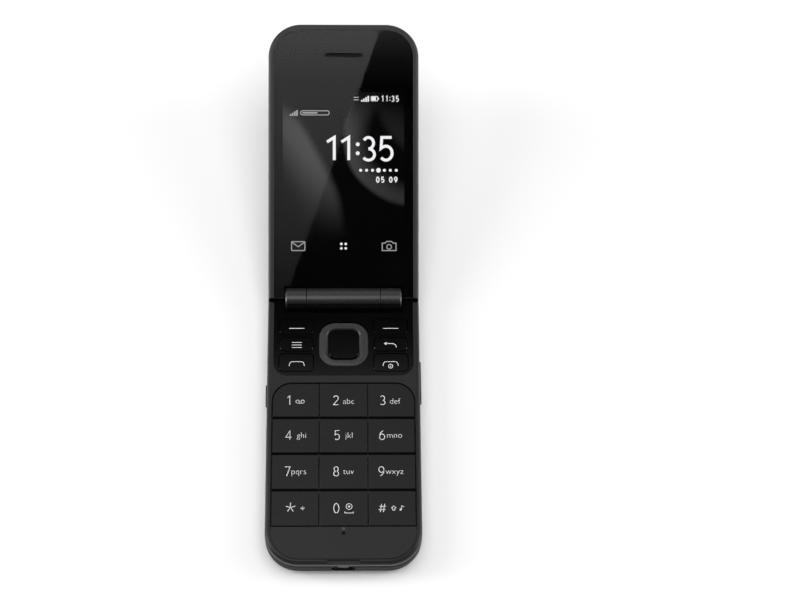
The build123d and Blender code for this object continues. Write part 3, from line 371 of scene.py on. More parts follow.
def makeHandledFinish(s):
    # where fingers touch, the gloss changes a little, and fine dust settles
    group, source, result = newTree(
        "Shader", "handledFinish",
        {
            "Colour": (0.5, 0.5, 0.5, 1), "Roughness": 0.4, "Smudge": 0.1, "Patch": 0.01,
            "Dust": 0.02,
        },
        {"Colour": "Color", "Roughness": "Float"},
    )
    place = objectPlace(group)
    patch = addNoise(group, place, addMath(group, "DIVIDE", 1.0, source["Patch"]), *s["patch"])
    sway = multiply(group, addMath(group, "SUBTRACT", patch, 0.5), source["Smudge"])
    speck = addRange(group, addNoise(group, place, s["speckScale"], 1), *s["speck"])
    share = multiply(group, speck, addRange(group, patch, *s["drift"]), source["Dust"])
    fill(group, result, {
        "Colour": addMix(group, share, source["Colour"], s["dustColour"]),
        "Roughness": addMath(group, "ADD", source["Roughness"], sway),
    })
    return group


wornAndLitSet = {
    "bevelSamples": 4,
    "edge": (0.98, 0.82),  # cosine between the flat and the rounded normal
    "rubScale": 420.0,
    "rub": (0.35, 0.65, 0.3, 1.0),
}


# lighter colour on rounded edges, in rubbed patches: rubbed wear and a painted edge highlight
def makeWornEdge(s):
    group, source, result = newTree(
        "Shader", "wornAndLitEdge",
        {"Colour": (0.5, 0.5, 0.5, 1), "Worn": (0.6, 0.6, 0.6, 1), "Reach": 0.0003, "Amount": 0.5},
        {"Colour": "Color"},
    )
    bevel = group.nodes.new("ShaderNodeBevel")
    bevel.samples = s["bevelSamples"]
    rounded = fillNode(group, bevel, {"Radius": source["Reach"]})["Normal"]
    flat = addNode(group, "ShaderNodeNewGeometry", {})["Normal"]
    turn = addVectorMath(group, "DOT_PRODUCT", rounded, flat)["Value"]
    edge = addRange(group, turn, *s["edge"])
    rub = addRange(group, addNoise(group, objectPlace(group), s["rubScale"], 3), *s["rub"])
    mask = multiply(group, edge, rub, source["Amount"])
    fill(group, result, {"Colour": addMix(group, mask, source["Colour"], source["Worn"])})
    return group


mouldGrain = makeMouldGrain(grainSet)
handledFinish = makeHandledFinish(handledSet)
wornAndLitEdge = makeWornEdge(wornAndLitSet)


def addGroup(tree, group, **values):
    node = tree.nodes.new("ShaderNodeGroup")
    node.node_tree = group
    return fillNode(tree, node, values)


# Materials

def grey(level, warm=0.0):
    return (level * (1 + warm), level, level * (1 - warm), 1)


def blankMaterial(name):
    material = bpy.data.materials.new(name)
    material.use_nodes = True
    tree = material.node_tree
    tree.nodes.clear()
    return material, tree, tree.nodes.new("ShaderNodeOutputMaterial").inputs


def newMaterial(name):
    material, tree, out = blankMaterial(name)
    shader = tree.nodes.new("ShaderNodeBsdfPrincipled")
    tree.links.new(shader.outputs["BSDF"], out["Surface"])
    return material, tree, shader.inputs


def addBump(tree, shader, height, depth):
    bump = addNode(tree, "ShaderNodeBump", {"Strength": 1.0, "Distance": depth, "Height": height})
    fill(tree, shader, {"Normal": bump["Normal"]})


def addHandled(tree, shader, colour, rough, smudge, patch, dust):
    handled = addGroup(
        tree, handledFinish, Colour=colour, Roughness=rough, Smudge=smudge, Patch=patch, Dust=dust
    )
    fill(tree, shader, {"Base Color": handled["Colour"], "Roughness": handled["Roughness"]})
    return handled


lineNoise = (3, 0.6)  # detail and roughness of turned and brushed lines
hingeZones = {
    # radius about the hinge axis and half the width, in mm: the first two are painted shade in the
    # gap and in the notch round the barrel, and the tube takes the barrel's lacquer
    "gap": (0.8, 30.0),
    "scoopShade": (6.0, 21.7),
    "tube": (4.32, 21.2),
}
lacquerSet = {
    "colours": (grey(0.078), grey(0.095)),
    # painted shade: the colour of the tube low on its front
    "paintedLowShade": grey(0.012),
    # heights over the hinge axis: where the painted shade begins, is full, thins out and ends
    "shadeTop": 3.5,
    "shadeFull": 2.9,
    "shadeEnd": -0.3,
    "shadeLast": -0.8,
    "hairScale": (26000, 260, 260),
    "hair": (0.35, 0.75),
    "handled": (0.27, 0.05, 0.012, 0.005),  # roughness, smudge and its patches, dust
    "metallic": 0.85,
}


def addHingeZone(tree, zone):
    radius, half = hingeZones[zone]
    place = objectPlace(tree, scale=(0, 1, 1), shift=(0, -hinge.y, -hinge.z))
    away = addVectorMath(tree, "LENGTH", place)["Value"]
    across = addMath(tree, "ABSOLUTE", addSplit(tree, objectPlace(tree))["X"])
    near = addMath(tree, "LESS_THAN", away, radius * mm)
    return multiply(tree, near, addMath(tree, "LESS_THAN", across, half * mm))


def addLacquer(tree, shader):
    # hair lines run round the turned tube, and painted shade darkens it low on its front
    s = lacquerSet
    hair = addNoise(tree, objectPlace(tree, scale=s["hairScale"]), 1.0, *lineNoise)
    spot = addSplit(tree, objectPlace(tree, shift=(0, -hinge.y, -hinge.z)))
    front = addMath(tree, "LESS_THAN", spot["Y"], 0.0)
    low = addRange(tree, spot["Z"], s["shadeTop"] * mm, s["shadeFull"] * mm)
    end = addRange(tree, spot["Z"], s["shadeEnd"] * mm, s["shadeLast"] * mm, 1.0, 0.0)
    base = addMix(tree, addRange(tree, hair, *s["hair"]), *s["colours"])
    # painted shade mixed in low on the front of the tube
    colour = addMix(tree, multiply(tree, front, low, end), base, s["paintedLowShade"])
    return addHandled(tree, shader, colour, *s["handled"])


hingeRims = ("rim_plastic", "lidRimPaintedLight")  # the finishes of the shells that meet at the hinge, with painted shade round it
mouldedFinishes = {
    # colour, edge colour (rubbed wear and painted edge highlight), roughness, gloss, grain size
    # and depth, smudge, dust
    "rim_plastic": (0.0135, 0.027, 0.36, 0.34, 0.00022, 0.000010, 0.10, 0.02),
    "keypad_plastic": (0.002, 0.02, 0.40, 0.5, 0.00018, 0.000008, 0.12, 0.02),
    "rear_plastic": (0.006, 0.014, 0.50, 0.12, 0.00045, 0.000030, 0.10, 0.03),
    "seam_plastic": (0.003, 0.006, 0.55, 0.06, 0.00030, 0.000010, 0.10, 0.02),
    # the lid's frame: rim_plastic about twice as light, painted light
    "lidRimPaintedLight": (0.028, 0.06, 0.36, 0.34, 0.00022, 0.000010, 0.10, 0.02),
    "contact_plastic": (0.010, 0.02, 0.50, 0.4, 0.00030, 0.000010, 0.10, 0.02),
}
mouldedSet = {
    "reach": 0.00025,
    "wearAndLight": 0.6,
    "patch": 0.012,
    "wave": 0.009,
    # painted shade at the hinge
    "paintedHingeShade": grey(0.001),
}


def makeMoulded(name, values):
    colour, worn, rough, gloss, grain, depth, smudge, dust = values
    s = mouldedSet
    material, tree, shader = newMaterial(name)
    # rounded edges lighter: rubbed wear and painted edge highlight
    edges = addGroup(
        tree, wornAndLitEdge, Colour=grey(colour), Worn=grey(worn), Reach=s["reach"], Amount=s["wearAndLight"]
    )
    handled = addHandled(tree, shader, edges["Colour"], rough, smudge, s["patch"], dust)
    skin = addGroup(tree, mouldGrain, Grain=grain, Wave=s["wave"])
    addBump(tree, shader, skin["Height"], depth)
    if name not in hingeRims:
        fill(tree, shader, {"Specular IOR Level": gloss})
        return material
    # painted shade: black with no gloss in the gap between lid and base at the hinge, and in the
    # notch round the barrel
    dark = addMath(tree, "MAXIMUM", addHingeZone(tree, "gap"), addHingeZone(tree, "scoopShade"))
    tube = addHingeZone(tree, "tube")
    lacquer = addLacquer(tree, shader)
    plain = addMix(tree, dark, handled["Colour"], s["paintedHingeShade"])
    sway = addMath(tree, "SUBTRACT", lacquer["Roughness"], handled["Roughness"])
    shine = addRange(tree, addMath(tree, "SUBTRACT", dark, tube), 0.0, 1.0, gloss, 0.0)
    fill(tree, shader, {
        "Base Color": addMix(tree, tube, plain, lacquer["Colour"]),
        "Roughness": addMath(tree, "MULTIPLY_ADD", tube, sway, handled["Roughness"]),
        "Metallic": multiply(tree, tube, lacquerSet["metallic"]),
        "Specular IOR Level": shine,
    })
    return material


polishedFinishes = {
    # colour; roughness, smudge and its patches, dust; grain, wave and depth of the skin
    "gloss_black": (0.0010, (0.06, 0.06, 0.007, 0.015), 0.002, 0.006, 0.000004),
    "glass_black": (0.0012, (0.03, 0.07, 0.012, 0.03), 0.003, 0.02, 0.000002),
    "rubber": (0.05, (0.62, 0.1, 0.004, 0.05), 0.0002, 0.004, 0.00001),
}


def makePolished(name, values):
    # one even colour under finger smudges, with the faint waves of its mould
    colour, touch, grain, wave, depth = values
    material, tree, shader = newMaterial(name)
    addHandled(tree, shader, grey(colour), *touch)
    skin = addGroup(tree, mouldGrain, Grain=grain, Wave=wave)
    addBump(tree, shader, skin["Height"], depth)
    return material


glassIndex = 1.5
glassFinishes = {
    # colour; roughness, smudge and its patches, dust; the coat, where it has a violet sheen
    "clearGlass": ((0.93, 0.93, 0.94, 1), (0.02, 0.05, 0.014, 0.0), {}),
    "lens_glass": (
        (0.86, 0.88, 0.92, 1), (0.02, 0.04, 0.003, 0.0),
        {"Coat Weight": 0.3, "Coat Tint": (0.75, 0.7, 1.0, 1)},
    ),
}


def makeGlass(name, values):
    colour, touch, coat = values
    material, tree, shader = newMaterial(name)
    addHandled(tree, shader, colour, *touch)
    fill(tree, shader, {"IOR": glassIndex, "Transmission Weight": 1.0, **coat})
    return material


steelFinishes = {
    # brightness, roughness, and how close the brushed lines are along each axis
    "spring_steel": (0.55, 0.22, (400, 9000, 9000)),
    "steel": (0.42, 0.3, (9000, 500, 9000)),
    "darkMesh": (0.03, 0.4, (400, 9000, 9000)),
}
steelSet = {
    "darkShare": 0.75,
    "warm": 0.01,
    "touch": (0.12, 0.005, 0.0),  # smudge and its patches, dust
    "lineRough": 0.12,
    "depth": 0.000002,
}


def makeSteel(name, values):
    level, rough, brush = values
    s = steelSet
    material, tree, shader = newMaterial(name)
    lines = addNoise(tree, objectPlace(tree, scale=brush), 1.0, *lineNoise)
    base = addMix(tree, lines, grey(level * s["darkShare"]), grey(level, s["warm"]))
    handled = addHandled(tree, shader, base, rough, *s["touch"])
    rougher = addMath(tree, "MULTIPLY_ADD", lines, s["lineRough"], handled["Roughness"])
    fill(tree, shader, {"Roughness": rougher, "Metallic": 1.0})
    addBump(tree, shader, lines, s["depth"])
    return material


mottledFinishes = {
    # scale and detail of the mottle, the part of it that counts, its colours, what else is set on
    # the shader, and the depth of the bump
    "blackPrint": (
        4000.0, 2, None, (grey(0.0002), grey(0.0006)),
        {"Roughness": 0.8, "Specular IOR Level": 0.0}, 0.0,
    ),
    "display": (9000.0, 1, None, (grey(0.002), grey(0.005)), {"Roughness": 0.3}, 0.0),
    "flash_plastic": (
        900.0, 2, None, ((0.62, 0.58, 0.42, 1), (0.74, 0.71, 0.58, 1)),
        {"Roughness": 0.16, "Subsurface Weight": 0.15}, 0.00002,
    ),
    "keyPaint": (2500.0, 3, (0.3, 0.7), (grey(0.72), grey(0.86)), {"Roughness": 0.5}, 0.000005),
}


def makeMottled(name, values):
    scale, detail, part, colours, plain, depth = values
    material, tree, shader = newMaterial(name)
    mottle = addNoise(tree, objectPlace(tree), scale, detail)
    share = addRange(tree, mottle, *part) if part else mottle
    fill(tree, shader, {"Base Color": addMix(tree, share, *colours), **plain})
    if depth:
        addBump(tree, shader, mottle, depth)
    return material


glyphFinishes = {"brightGlyph": 0.95, "dimGlyph": 0.42}  # brightness
glyphSet = {"dotScale": 6000.0, "faint": (0.96, 0.97, 1.0)}
litOnly = {"Base Color": grey(0.001), "Emission Strength": 1.0, "Specular IOR Level": 0.0}


def makeLitGlyph(name, level):
    # picture elements that shine through the glass
    material, tree, shader = newMaterial(name)
    dots = addNoise(tree, objectPlace(tree), glyphSet["dotScale"], 1)
    faint = (*(level * share for share in glyphSet["faint"]), 1)
    fill(tree, shader, {"Emission Color": addMix(tree, dots, faint, grey(level)), **litOnly})
    return material


ringFinish = {
    "flakeScale": 9000.0,
    "flakes": (0.55, 1.0),  # which of them shine
    "colours": (grey(0.030), grey(0.085)),
    # edge colour: rubbed wear and painted edge highlight
    "worn": grey(0.12),
    "reach": 0.0002,
    "wearAndLight": 0.5,
    "handled": (0.34, 0.10, 0.006, 0.01),
    "metallic": 0.35,
    "depth": 0.000006,
}


def makeRingLacquer(s):
    # dark lacquer with fine metal flakes
    material, tree, shader = newMaterial("ring_metal")
    flake = {"Vector": objectPlace(tree), "Scale": s["flakeScale"]}
    glint = {"Color": addNode(tree, "ShaderNodeTexVoronoi", flake)["Color"]}
    glint = addNode(tree, "ShaderNodeSeparateColor", glint)
    base = addMix(tree, addRange(tree, glint["Red"], *s["flakes"]), *s["colours"])
    # rounded edges lighter: rubbed wear and painted edge highlight
    edges = addGroup(
        tree, wornAndLitEdge, Colour=base, Worn=s["worn"], Reach=s["reach"], Amount=s["wearAndLight"]
    )
    addHandled(tree, shader, edges["Colour"], *s["handled"])
    fill(tree, shader, {"Metallic": s["metallic"]})
    addBump(tree, shader, glint["Green"], s["depth"])
    return material


def makeBarrelLacquer():
    material, tree, shader = newMaterial("barrel_metal")
    addLacquer(tree, shader)
    fill(tree, shader, {"Metallic": lacquerSet["metallic"]})
    return material


boardFinish = {
    "trackScale": (900, 900, 900),
    "pitch": 0.16,
    "track": (0.05, 0.09),
    "colours": ((0.004, 0.045, 0.018, 1), (0.012, 0.085, 0.032, 1)),
    "handled": (0.34, 0.1, 0.01, 0.02),
    "depth": 0.00002,
}


def makeBoard(s):
    # solder mask over copper tracks
    material, tree, shader = newMaterial("board")
    place = objectPlace(tree, scale=s["trackScale"])
    cells = tree.nodes.new("ShaderNodeTexVoronoi")
    cells.distance = "MANHATTAN"
    cells = fillNode(tree, cells, {"Vector": place, "Scale": 1.0})
    line = addMath(tree, "PINGPONG", cells["Distance"], s["pitch"])
    track = addRange(tree, line, *s["track"])
    addHandled(tree, shader, addMix(tree, track, *s["colours"]), *s["handled"])
    addBump(tree, shader, track, s["depth"])
    return material


wrapFinish = {
    "fibreScale": (300, 3000, 3000),
    "colours": (grey(0.05), grey(0.075)),
    "handled": (0.42, 0.14, 0.01, 0.02),
    "depth": 0.00001,
}


def makeBatteryWrap(s):
    material, tree, shader = newMaterial("battery_wrap")
    fibre = addNoise(tree, objectPlace(tree, scale=s["fibreScale"]), 1.0, 2)
    addHandled(tree, shader, addMix(tree, fibre, *s["colours"]), *s["handled"])
    addBump(tree, shader, fibre, s["depth"])
    return material


finishes = {
    "ring_metal": makeRingLacquer(ringFinish),
    "barrel_metal": makeBarrelLacquer(),
    "board": makeBoard(boardFinish),
    "battery_wrap": makeBatteryWrap(wrapFinish),
}
for make, table in (
    (makeMoulded, mouldedFinishes), (makePolished, polishedFinishes), (makeGlass, glassFinishes),
    (makeSteel, steelFinishes), (makeMottled, mottledFinishes), (makeLitGlyph, glyphFinishes),
):
    finishes.update({name: make(name, values) for name, values in table.items()})

# the lid's frame gets the lighter copy of rim_plastic: painted light
ownFinishes = {"lid_inner_frame": "lidRimPaintedLight", "earpiece_mesh": "darkMesh"}

for name, node in frame["nodes"].items():
    for place in node.material_slots:
        place.material = finishes[ownFinishes.get(name) or place.material.name.split(".")[0]]
print("materials made and put on the CAD nodes")


# Floor, lamps and world

stageSet = {
    "floorRadius": 3.2,
    "floorRings": (0.02, 0.3, 1.0),
    "turns": 96,
    "wallHeight": 0.35,
    "bend": 0.3,
    "bendSteps": 8,
    "floorColour": 0.9,
    "floorGlow": 0.07,
    "worldGrey": 0.02,
    "softboxHeight": 1.45,
    "softboxLeft": -0.75,
    "softboxFront": 0.12,  # how far it goes on in front of the low spot
    # two spots of the lid's glass that the edge of the softbox passes over
    "edgeLow": (-19.9, 3.65),
    "edgeHigh": (13.2, 97.9),
    # brightness at the front, at the low spot, a step before the high spot and at it
    "edgeGlow": (0.10, 0.18, 0.84, 1.3),
    "edgeStep": 0.05,
    # places behind the high spot, and the brightness at each
    "backGlow": [(0.1, 1.5), (0.42, 1.05), (0.56, 0.6), (0.65, 0.34), (0.672, 0.10), (0.72, 0.01)],
    "sideRight": 0.7,
    # spots along the lid, and the brightness that the side panel has in each
    "sideGlow": [
        (70.0, 0.0), (78.2, 0.01), (87.3, 0.08), (92.8, 0.20), (98.0, 0.37), (104.0, 0.5),
        (118.0, 0.0),
    ],
    "glassHeight": -0.4,
}


def makeFloor(s):
    edge, bend = s["floorRadius"], s["bend"]
    rings = [(radius, 0.0) for radius in (*s["floorRings"], edge - bend)]
    for step in range(1, s["bendSteps"] + 1):
        a = step / s["bendSteps"] * math.pi / 2
        rings.append((edge - bend * (1 - math.sin(a)), bend * (1 - math.cos(a))))
    rings.append((edge, s["wallHeight"]))
    bm = bmesh.new()
    loops = []
    for radius, z in rings:
        around = arcPoints(0, 0, radius, radius, 0, 360, s["turns"])[:-1]
        loops.append([bm.verts.new((x, y, z)) for x, y in around])
    bm.faces.new(loops[0])
    for inner, outer in zip(loops, loops[1:]):
        joinRings(bm, outer, inner)
    mesh = bpy.data.meshes.new("paleFloor")
    bm.to_mesh(mesh)
    bm.free()
    mesh.shade_smooth()
    material, tree, out = blankMaterial("paleFloor")
    rays = addNode(tree, "ShaderNodeLightPath", {})
    seen = addMath(tree, "MAXIMUM", rays["Is Camera Ray"], rays["Is Glossy Ray"])
    seen = addMath(tree, "MAXIMUM", seen, rays["Is Transmission Ray"])
    diffuse = addNode(tree, "ShaderNodeBsdfDiffuse", {"Color": grey(s["floorColour"])})
    strength = multiply(tree, seen, s["floorGlow"])
    glow = addNode(tree, "ShaderNodeEmission", {"Strength": strength})
    lit = addNode(tree, "ShaderNodeAddShader", {0: diffuse[0], 1: glow[0]})
    fill(tree, out, {"Surface": lit[0]})
    newPiece("paleFloor", mesh, material)


def mirrorSpot(x, s, height):
    # where a glance from the camera, mirrored by the lid's glass at this spot, meets that height
    spot = lidPlace(x, s, stageSet["glassHeight"]).translation
    glance = (spot - viewCamera.matrix_world.translation).normalized()
    back = glance - 2 * glance.dot(lidUp) * lidUp
    return spot + back * ((height - spot.z) / back.z)


def makeLightCloth(name, stops):
    # places along Y and the brightness at each
    material, tree, out = blankMaterial(name)
    front, back = stops[0][0], stops[-1][0]
    along = addRange(tree, addSplit(tree, objectPlace(tree))["Y"], front, back)
    ramp = tree.nodes.new("ShaderNodeValToRGB")
    fill(tree, ramp.inputs, {"Fac": along})
    while len(ramp.color_ramp.elements) < len(stops):
        ramp.color_ramp.elements.new(0.5)
    top = 2  # brightness where the ramp is white
    for element, (y, level) in zip(ramp.color_ramp.elements, stops):
        element.position = (y - front) / (back - front)
        element.color = grey(level / top)
    colour = ramp.outputs["Color"]
    glow = addNode(tree, "ShaderNodeEmission", {"Color": colour, "Strength": top})
    fill(tree, out, {"Surface": glow[0]})
    return material


def newPanel(name, corners, material):
    mesh = bpy.data.meshes.new(name)
    mesh.from_pydata([tuple(c) for c in corners], [], [(0, 3, 2, 1)])
    panel = newPiece(name, mesh, material)
    panel.visible_camera = False
    panel.visible_shadow = False
    return panel


def makeSoftboxes(s):
    height, left, right = s["softboxHeight"], s["softboxLeft"], s["sideRight"]
    low = mirrorSpot(*s["edgeLow"], height)
    high = mirrorSpot(*s["edgeHigh"], height)
    slope = (high - low) / (high.y - low.y)
    front, back = low.y - s["softboxFront"], s["backGlow"][-1][0]
    turns = (front, low.y, high.y - s["edgeStep"], high.y)
    cloth = makeLightCloth("softboxCloth", list(zip(turns, s["edgeGlow"])) + s["backGlow"])
    edges = [low + slope * (y - low.y) for y in (front, back)]
    corners = [(left, front, height), edges[0], edges[1], (left, back, height)]
    softbox = newPanel("overheadSoftbox", corners, cloth)

    # a dim panel beside it, seen in the far end of the glass
    spots = [(mirrorSpot(0.0, along, height).y, level) for along, level in s["sideGlow"]]
    front, back = spots[0][0], spots[-1][0]
    edges = [low + slope * (y - low.y) for y in (front, back)]
    corners = [edges[0], (right, front, height), (right, back, height), edges[1]]
    side = newPanel("sideSoftbox", corners, makeLightCloth("sideCloth", spots))


lampSet = {
    # place, size, power, shown in gloss
    "fillAbove": ((0.1, -0.2, 1.9), (1.6, 1.6), 30.0, False),
    "stripRight": ((1.25, 0.1, 0.6), (0.5, 1.4), 8.0, True),
    "stripLeft": ((-1.3, 0.1, 0.6), (0.5, 1.4), 12.5, True),
    "panelBack": ((0.0, 1.25, 1.1), (1.8, 1.1), 2.6, True),
}


def makeLamps():
    for name, (place, size, power, shown) in lampSet.items():
        data = bpy.data.lights.new(name, "AREA")
        data.shape = "RECTANGLE"
        data.size, data.size_y = size
        data.energy = power
        lamp = bpy.data.objects.new(name, data)
        bpy.context.scene.collection.objects.link(lamp)
        lamp.location = place
        lamp.rotation_euler = (hinge - Vector(place)).to_track_quat("-Z", "Y").to_euler()
        lamp.visible_glossy = shown


def makeWorld(s):
    world = bpy.data.worlds.new("studio")
    world.use_nodes = True
    tree = world.node_tree
    seen = addNode(tree, "ShaderNodeLightPath", {})["Is Camera Ray"]
    level = addRange(tree, seen, 0.0, 1.0, s["worldGrey"], 1.0)
    fill(tree, tree.nodes["Background"].inputs, {"Color": grey(1.0), "Strength": level})
    bpy.context.scene.world = world


makeFloor(stageSet)
makeSoftboxes(stageSet)
makeLamps()
makeWorld(stageSet)
bpy.context.scene.view_settings.view_transform = "Standard"
print("floor and lamps ready")


# Digits drawn with strokes: height 1 about the middle, lines of points and whether each closes

bowl = arcPoints(0, -0.19, 0.26, 0.31, 0, 345, 23)
stem = arcPoints(0.26, -0.15, 0.52, 0.66, 178, 106, 8)
hookFive = arcPoints(-0.02, -0.19, 0.25, 0.31, 118, -140, 13)
digitLines = {
    "0": [(arcPoints(0, 0, 0.26, 0.5, 0, 345, 23), True)],
    "1": [([(-0.18, 0.30), (0.05, 0.5), (0.05, -0.5)], False)],
    "2": [(arcPoints(-0.01, 0.23, 0.25, 0.27, 160, -28) + [(-0.26, -0.5), (0.27, -0.5)], False)],
    "3": [
        (arcPoints(-0.02, 0.25, 0.22, 0.25, 150, -90), False),
        (arcPoints(-0.02, -0.25, 0.26, 0.25, 90, -145), False),
    ],
    "4": [([(0.30, -0.22), (-0.29, -0.22), (0.14, 0.5), (0.14, -0.5)], False)],
    "5": [([(0.21, 0.5), (-0.19, 0.5), (-0.22, 0.02)] + hookFive, False)],
    "6": [(bowl, True), (stem, False)],
    "7": [([(-0.26, 0.5), (0.26, 0.5), (-0.09, -0.5)], False)],
    "8": [
        (arcPoints(0, 0.255, 0.21, 0.245, 0, 340, 17), True),
        (arcPoints(0, -0.245, 0.26, 0.255, 0, 340, 17), True),
    ],
    "9": [([(-x, -y) for x, y in bowl], True), ([(-x, -y) for x, y in stem], False)],
    "*": [([(0, 0.08), spoke], False) for spoke in arcPoints(0, 0.08, 0.5, 0.5, 90, 378, 4)],
    "#": [
        ([(-0.20, -0.42), (-0.06, 0.46)], False),
        ([(0.10, -0.42), (0.24, 0.46)], False),
        ([(-0.30, 0.19), (0.36, 0.19)], False),
        ([(-0.36, -0.15), (0.30, -0.15)], False),
    ],
}


def addDigit(bm, digit, x, y, height, stroke, levels, squeeze=1.0):
    tall = height - stroke
    for line, closed in digitLines[digit]:
        points = [(x + px * tall * squeeze, y + py * tall) for px, py in line]
        addRibbon(bm, points, stroke, *levels, closed)


def digitSpan(digit, tall):
    across = [point[0] * tall for line, _ in digitLines[digit] for point in line]
    return min(across), max(across)


# Signs in mm: stroke, whether it closes, and its points. A lone point is a disc of that radius,
# and no stroke means a filled outline.

handset = [(-2.7, -1.0), (-2.6, -0.2)] + arcPoints(-1.6, -0.1, 0.9, 0.8, 165, 90, 4)
handset += arcPoints(1.6, -0.1, 0.9, 0.8, 90, 15, 4) + [(2.6, -0.2), (2.7, -1.0)]
signLines = {
    "loops": [
        (0.18, True, hoop(0.75, -0.5, 0.6)),
        (0.18, True, hoop(2.5, -0.5, 0.6)),
        (0.18, False, [(0.75, -1.1), (2.5, -1.1)]),
    ],
    "plus": [(0.2, False, [(0.0, 0.0), (1.4, 0.0)]), (0.2, False, [(0.7, -0.65), (0.7, 0.65)])],
    "tray": [
        (0.2, True, hoop(1.6, 0.6, 1.05)),
        (0.36, False, [(1.6, 0.6)]),
        (0.21, False, [(0.15, -1.25), (0.15, -1.75), (3.05, -1.75), (3.05, -1.25)]),
    ],
    "shift": [
        (0.18, True, [
            (0.15, 0.05), (0.95, 0.85), (1.75, 0.05), (1.35, 0.05), (1.35, -0.75), (0.55, -0.75),
            (0.55, 0.05),
        ]),
        (0.2, False, [(3.65, -0.55), (3.65, 0.85), (4.5, 0.5)]),
        (0.36, False, [(3.35, -0.55)]),
    ],
    "softLine": [(0.22, False, [(-2.75, 0), (2.75, 0)])],
    "menu": [(0.21, False, [(-1.75, y), (1.75, y)]) for y in (-1.0, 0.0, 1.0)],
    "back": [
        (0.22, False, [(-1.4, 0.45)] + arcPoints(0.7, -1.05, 1.5, 1.5, 90, 0, 6)),
        (0, True, [(-2.2, 0.45), (-1.3, -0.15), (-1.3, 1.05)]),
    ],
    "handset": [(0.22, False, handset)],
    "handsetOff": [
        (0.22, False, handset),
        (0.21, True, hoop(0, -1.1, 0.75)),
        (0.2, False, [(0, -1.35), (0, -0.85)]),
    ],
    "signal": [(0.56, False, [(k * 0.78, -1.1), (k * 0.78, 0.5 * k - 0.5)]) for k in range(4)],
    "cell": [
        (0.24, True, roundedOutline(2.4, 1.6, 0.25, steps=3)),
        (1.2, False, [(-1.0, 0), (0.55, 0)]),
        (0.7, False, [(1.3, 0), (1.6, 0)]),
    ],
    "twoLines": [(0.36, False, [(0, y), (1.8, y)]) for y in (-0.45, 0.45)],
    "bar": [
        (0.3, True, roundedOutline(10.4, 1.5, 0.74, steps=5)),
        (0.5, False, [(-4.5, 0), (0.9, 0)]),
    ],
    "envelope": [
        (0.32, True, roundedOutline(4.8, 3.2, 0.3, steps=3)),
        (0.32, False, [(-2.2, 1.35), (0, -0.25), (2.2, 1.35)]),
    ],
    "camera": [
        (0.32, True, [
            (-2.5, -1.6), (2.5, -1.6), (2.5, 1.1), (1.4, 1.1), (0.9, 1.7), (-0.9, 1.7),
            (-1.4, 1.1), (-2.5, 1.1),
        ]),
        (0.32, True, hoop(0, -0.25, 0.85)),
    ],
}


def drawSign(bm, sign, x, y, levels):
    for stroke, closed, line in signLines[sign]:
        points = [(x + px, y + py) for px, py in line]
        if len(points) == 1:
            addDisc(bm, *points[0], stroke, *levels)
        elif stroke:
            addRibbon(bm, points, stroke, *levels, closed)
        else:
            addPlate(bm, [points], *levels)


# Legends on the keys, their letters from Blender's own font

legendSet = {
    "digitHeight": 3.68,
    "stroke": 0.24,
    "letterHeight": 1.54,
    "fontLetterHeight": 0.5,
    "fontOffset": -0.018,
    "fontSteps": 3,
    "thickness": 0.015,
    "columns": (-16.8, 0.0, 16.55),  # middle of digit and letters together
    "rows": (39.1, 52.4, 66.0, 79.65),
    "lifts": (0.45, 0.8, 0.8, 0.8),  # from the foot of the digit to that of the letters
}

numberKeys = {
    # digit, gap beside it, letters, or a sign in their place and its width
    "key_1": ("1", 1.9, "loops", 3.3),
    "key_2": ("2", 1.45, "abc"),
    "key_3": ("3", 1.6, "def"),
    "key_4": ("4", 1.7, "ghi"),
    "key_5": ("5", 1.95, "jkl"),
    "key_6": ("6", 0.8, "mno"),
    "key_7": ("7", 0.4, "pqrs"),
    "key_8": ("8", 1.4, "tuv"),
    "key_9": ("9", 0.45, "wxyz"),
    "key_star": ("*", 1.75, "plus", 1.4),
    "key_0": ("0", 1.8, "tray", 3.2),
    "key_hash": ("#", 1.65, "shift", 4.6),
}

functionKeys = {
    # sign, x, s
    "soft_key_left": ("softLine", -16.8, 11.1),
    "soft_key_right": ("softLine", 16.9, 11.1),
    "menu_key": ("menu", -16.75, 17.7),
    "back_key": ("back", 16.7, 17.6),
    "call_key": ("handset", -16.7, 24.9),
    "end_key": ("handsetOff", 16.8, 24.9),
}


def makeWord(word, s):
    # a flat mesh in mm that starts at x 0, and its width
    curve = bpy.data.curves.new("word", "FONT")
    curve.body = word
    curve.offset = s["fontOffset"]
    curve.resolution_u = s["fontSteps"]
    curve.extrude = 0.05  # only to tell its two sides apart
    text = bpy.data.objects.new("word", curve)
    bpy.context.scene.collection.objects.link(text)
    bpy.context.view_layer.update()
    seen = text.evaluated_get(bpy.context.evaluated_depsgraph_get())
    mesh = bpy.data.meshes.new_from_object(seen)
    bpy.data.objects.remove(text)
    size = s["letterHeight"] / s["fontLetterHeight"]
    start = min(vertex.co.x for vertex in mesh.vertices)
    for vertex in mesh.vertices:
        vertex.co.x = (vertex.co.x - start) * size
        vertex.co.y *= size
    return mesh, max(vertex.co.x for vertex in mesh.vertices)


def addWord(bm, mesh, x, y, low, high, place):
    for vertex in mesh.vertices:
        side = high if vertex.co.z > 0 else low
        vertex.co = place @ Vector((x + vertex.co.x, y + vertex.co.y, side))
    bm.from_mesh(mesh)
    bpy.data.meshes.remove(mesh)


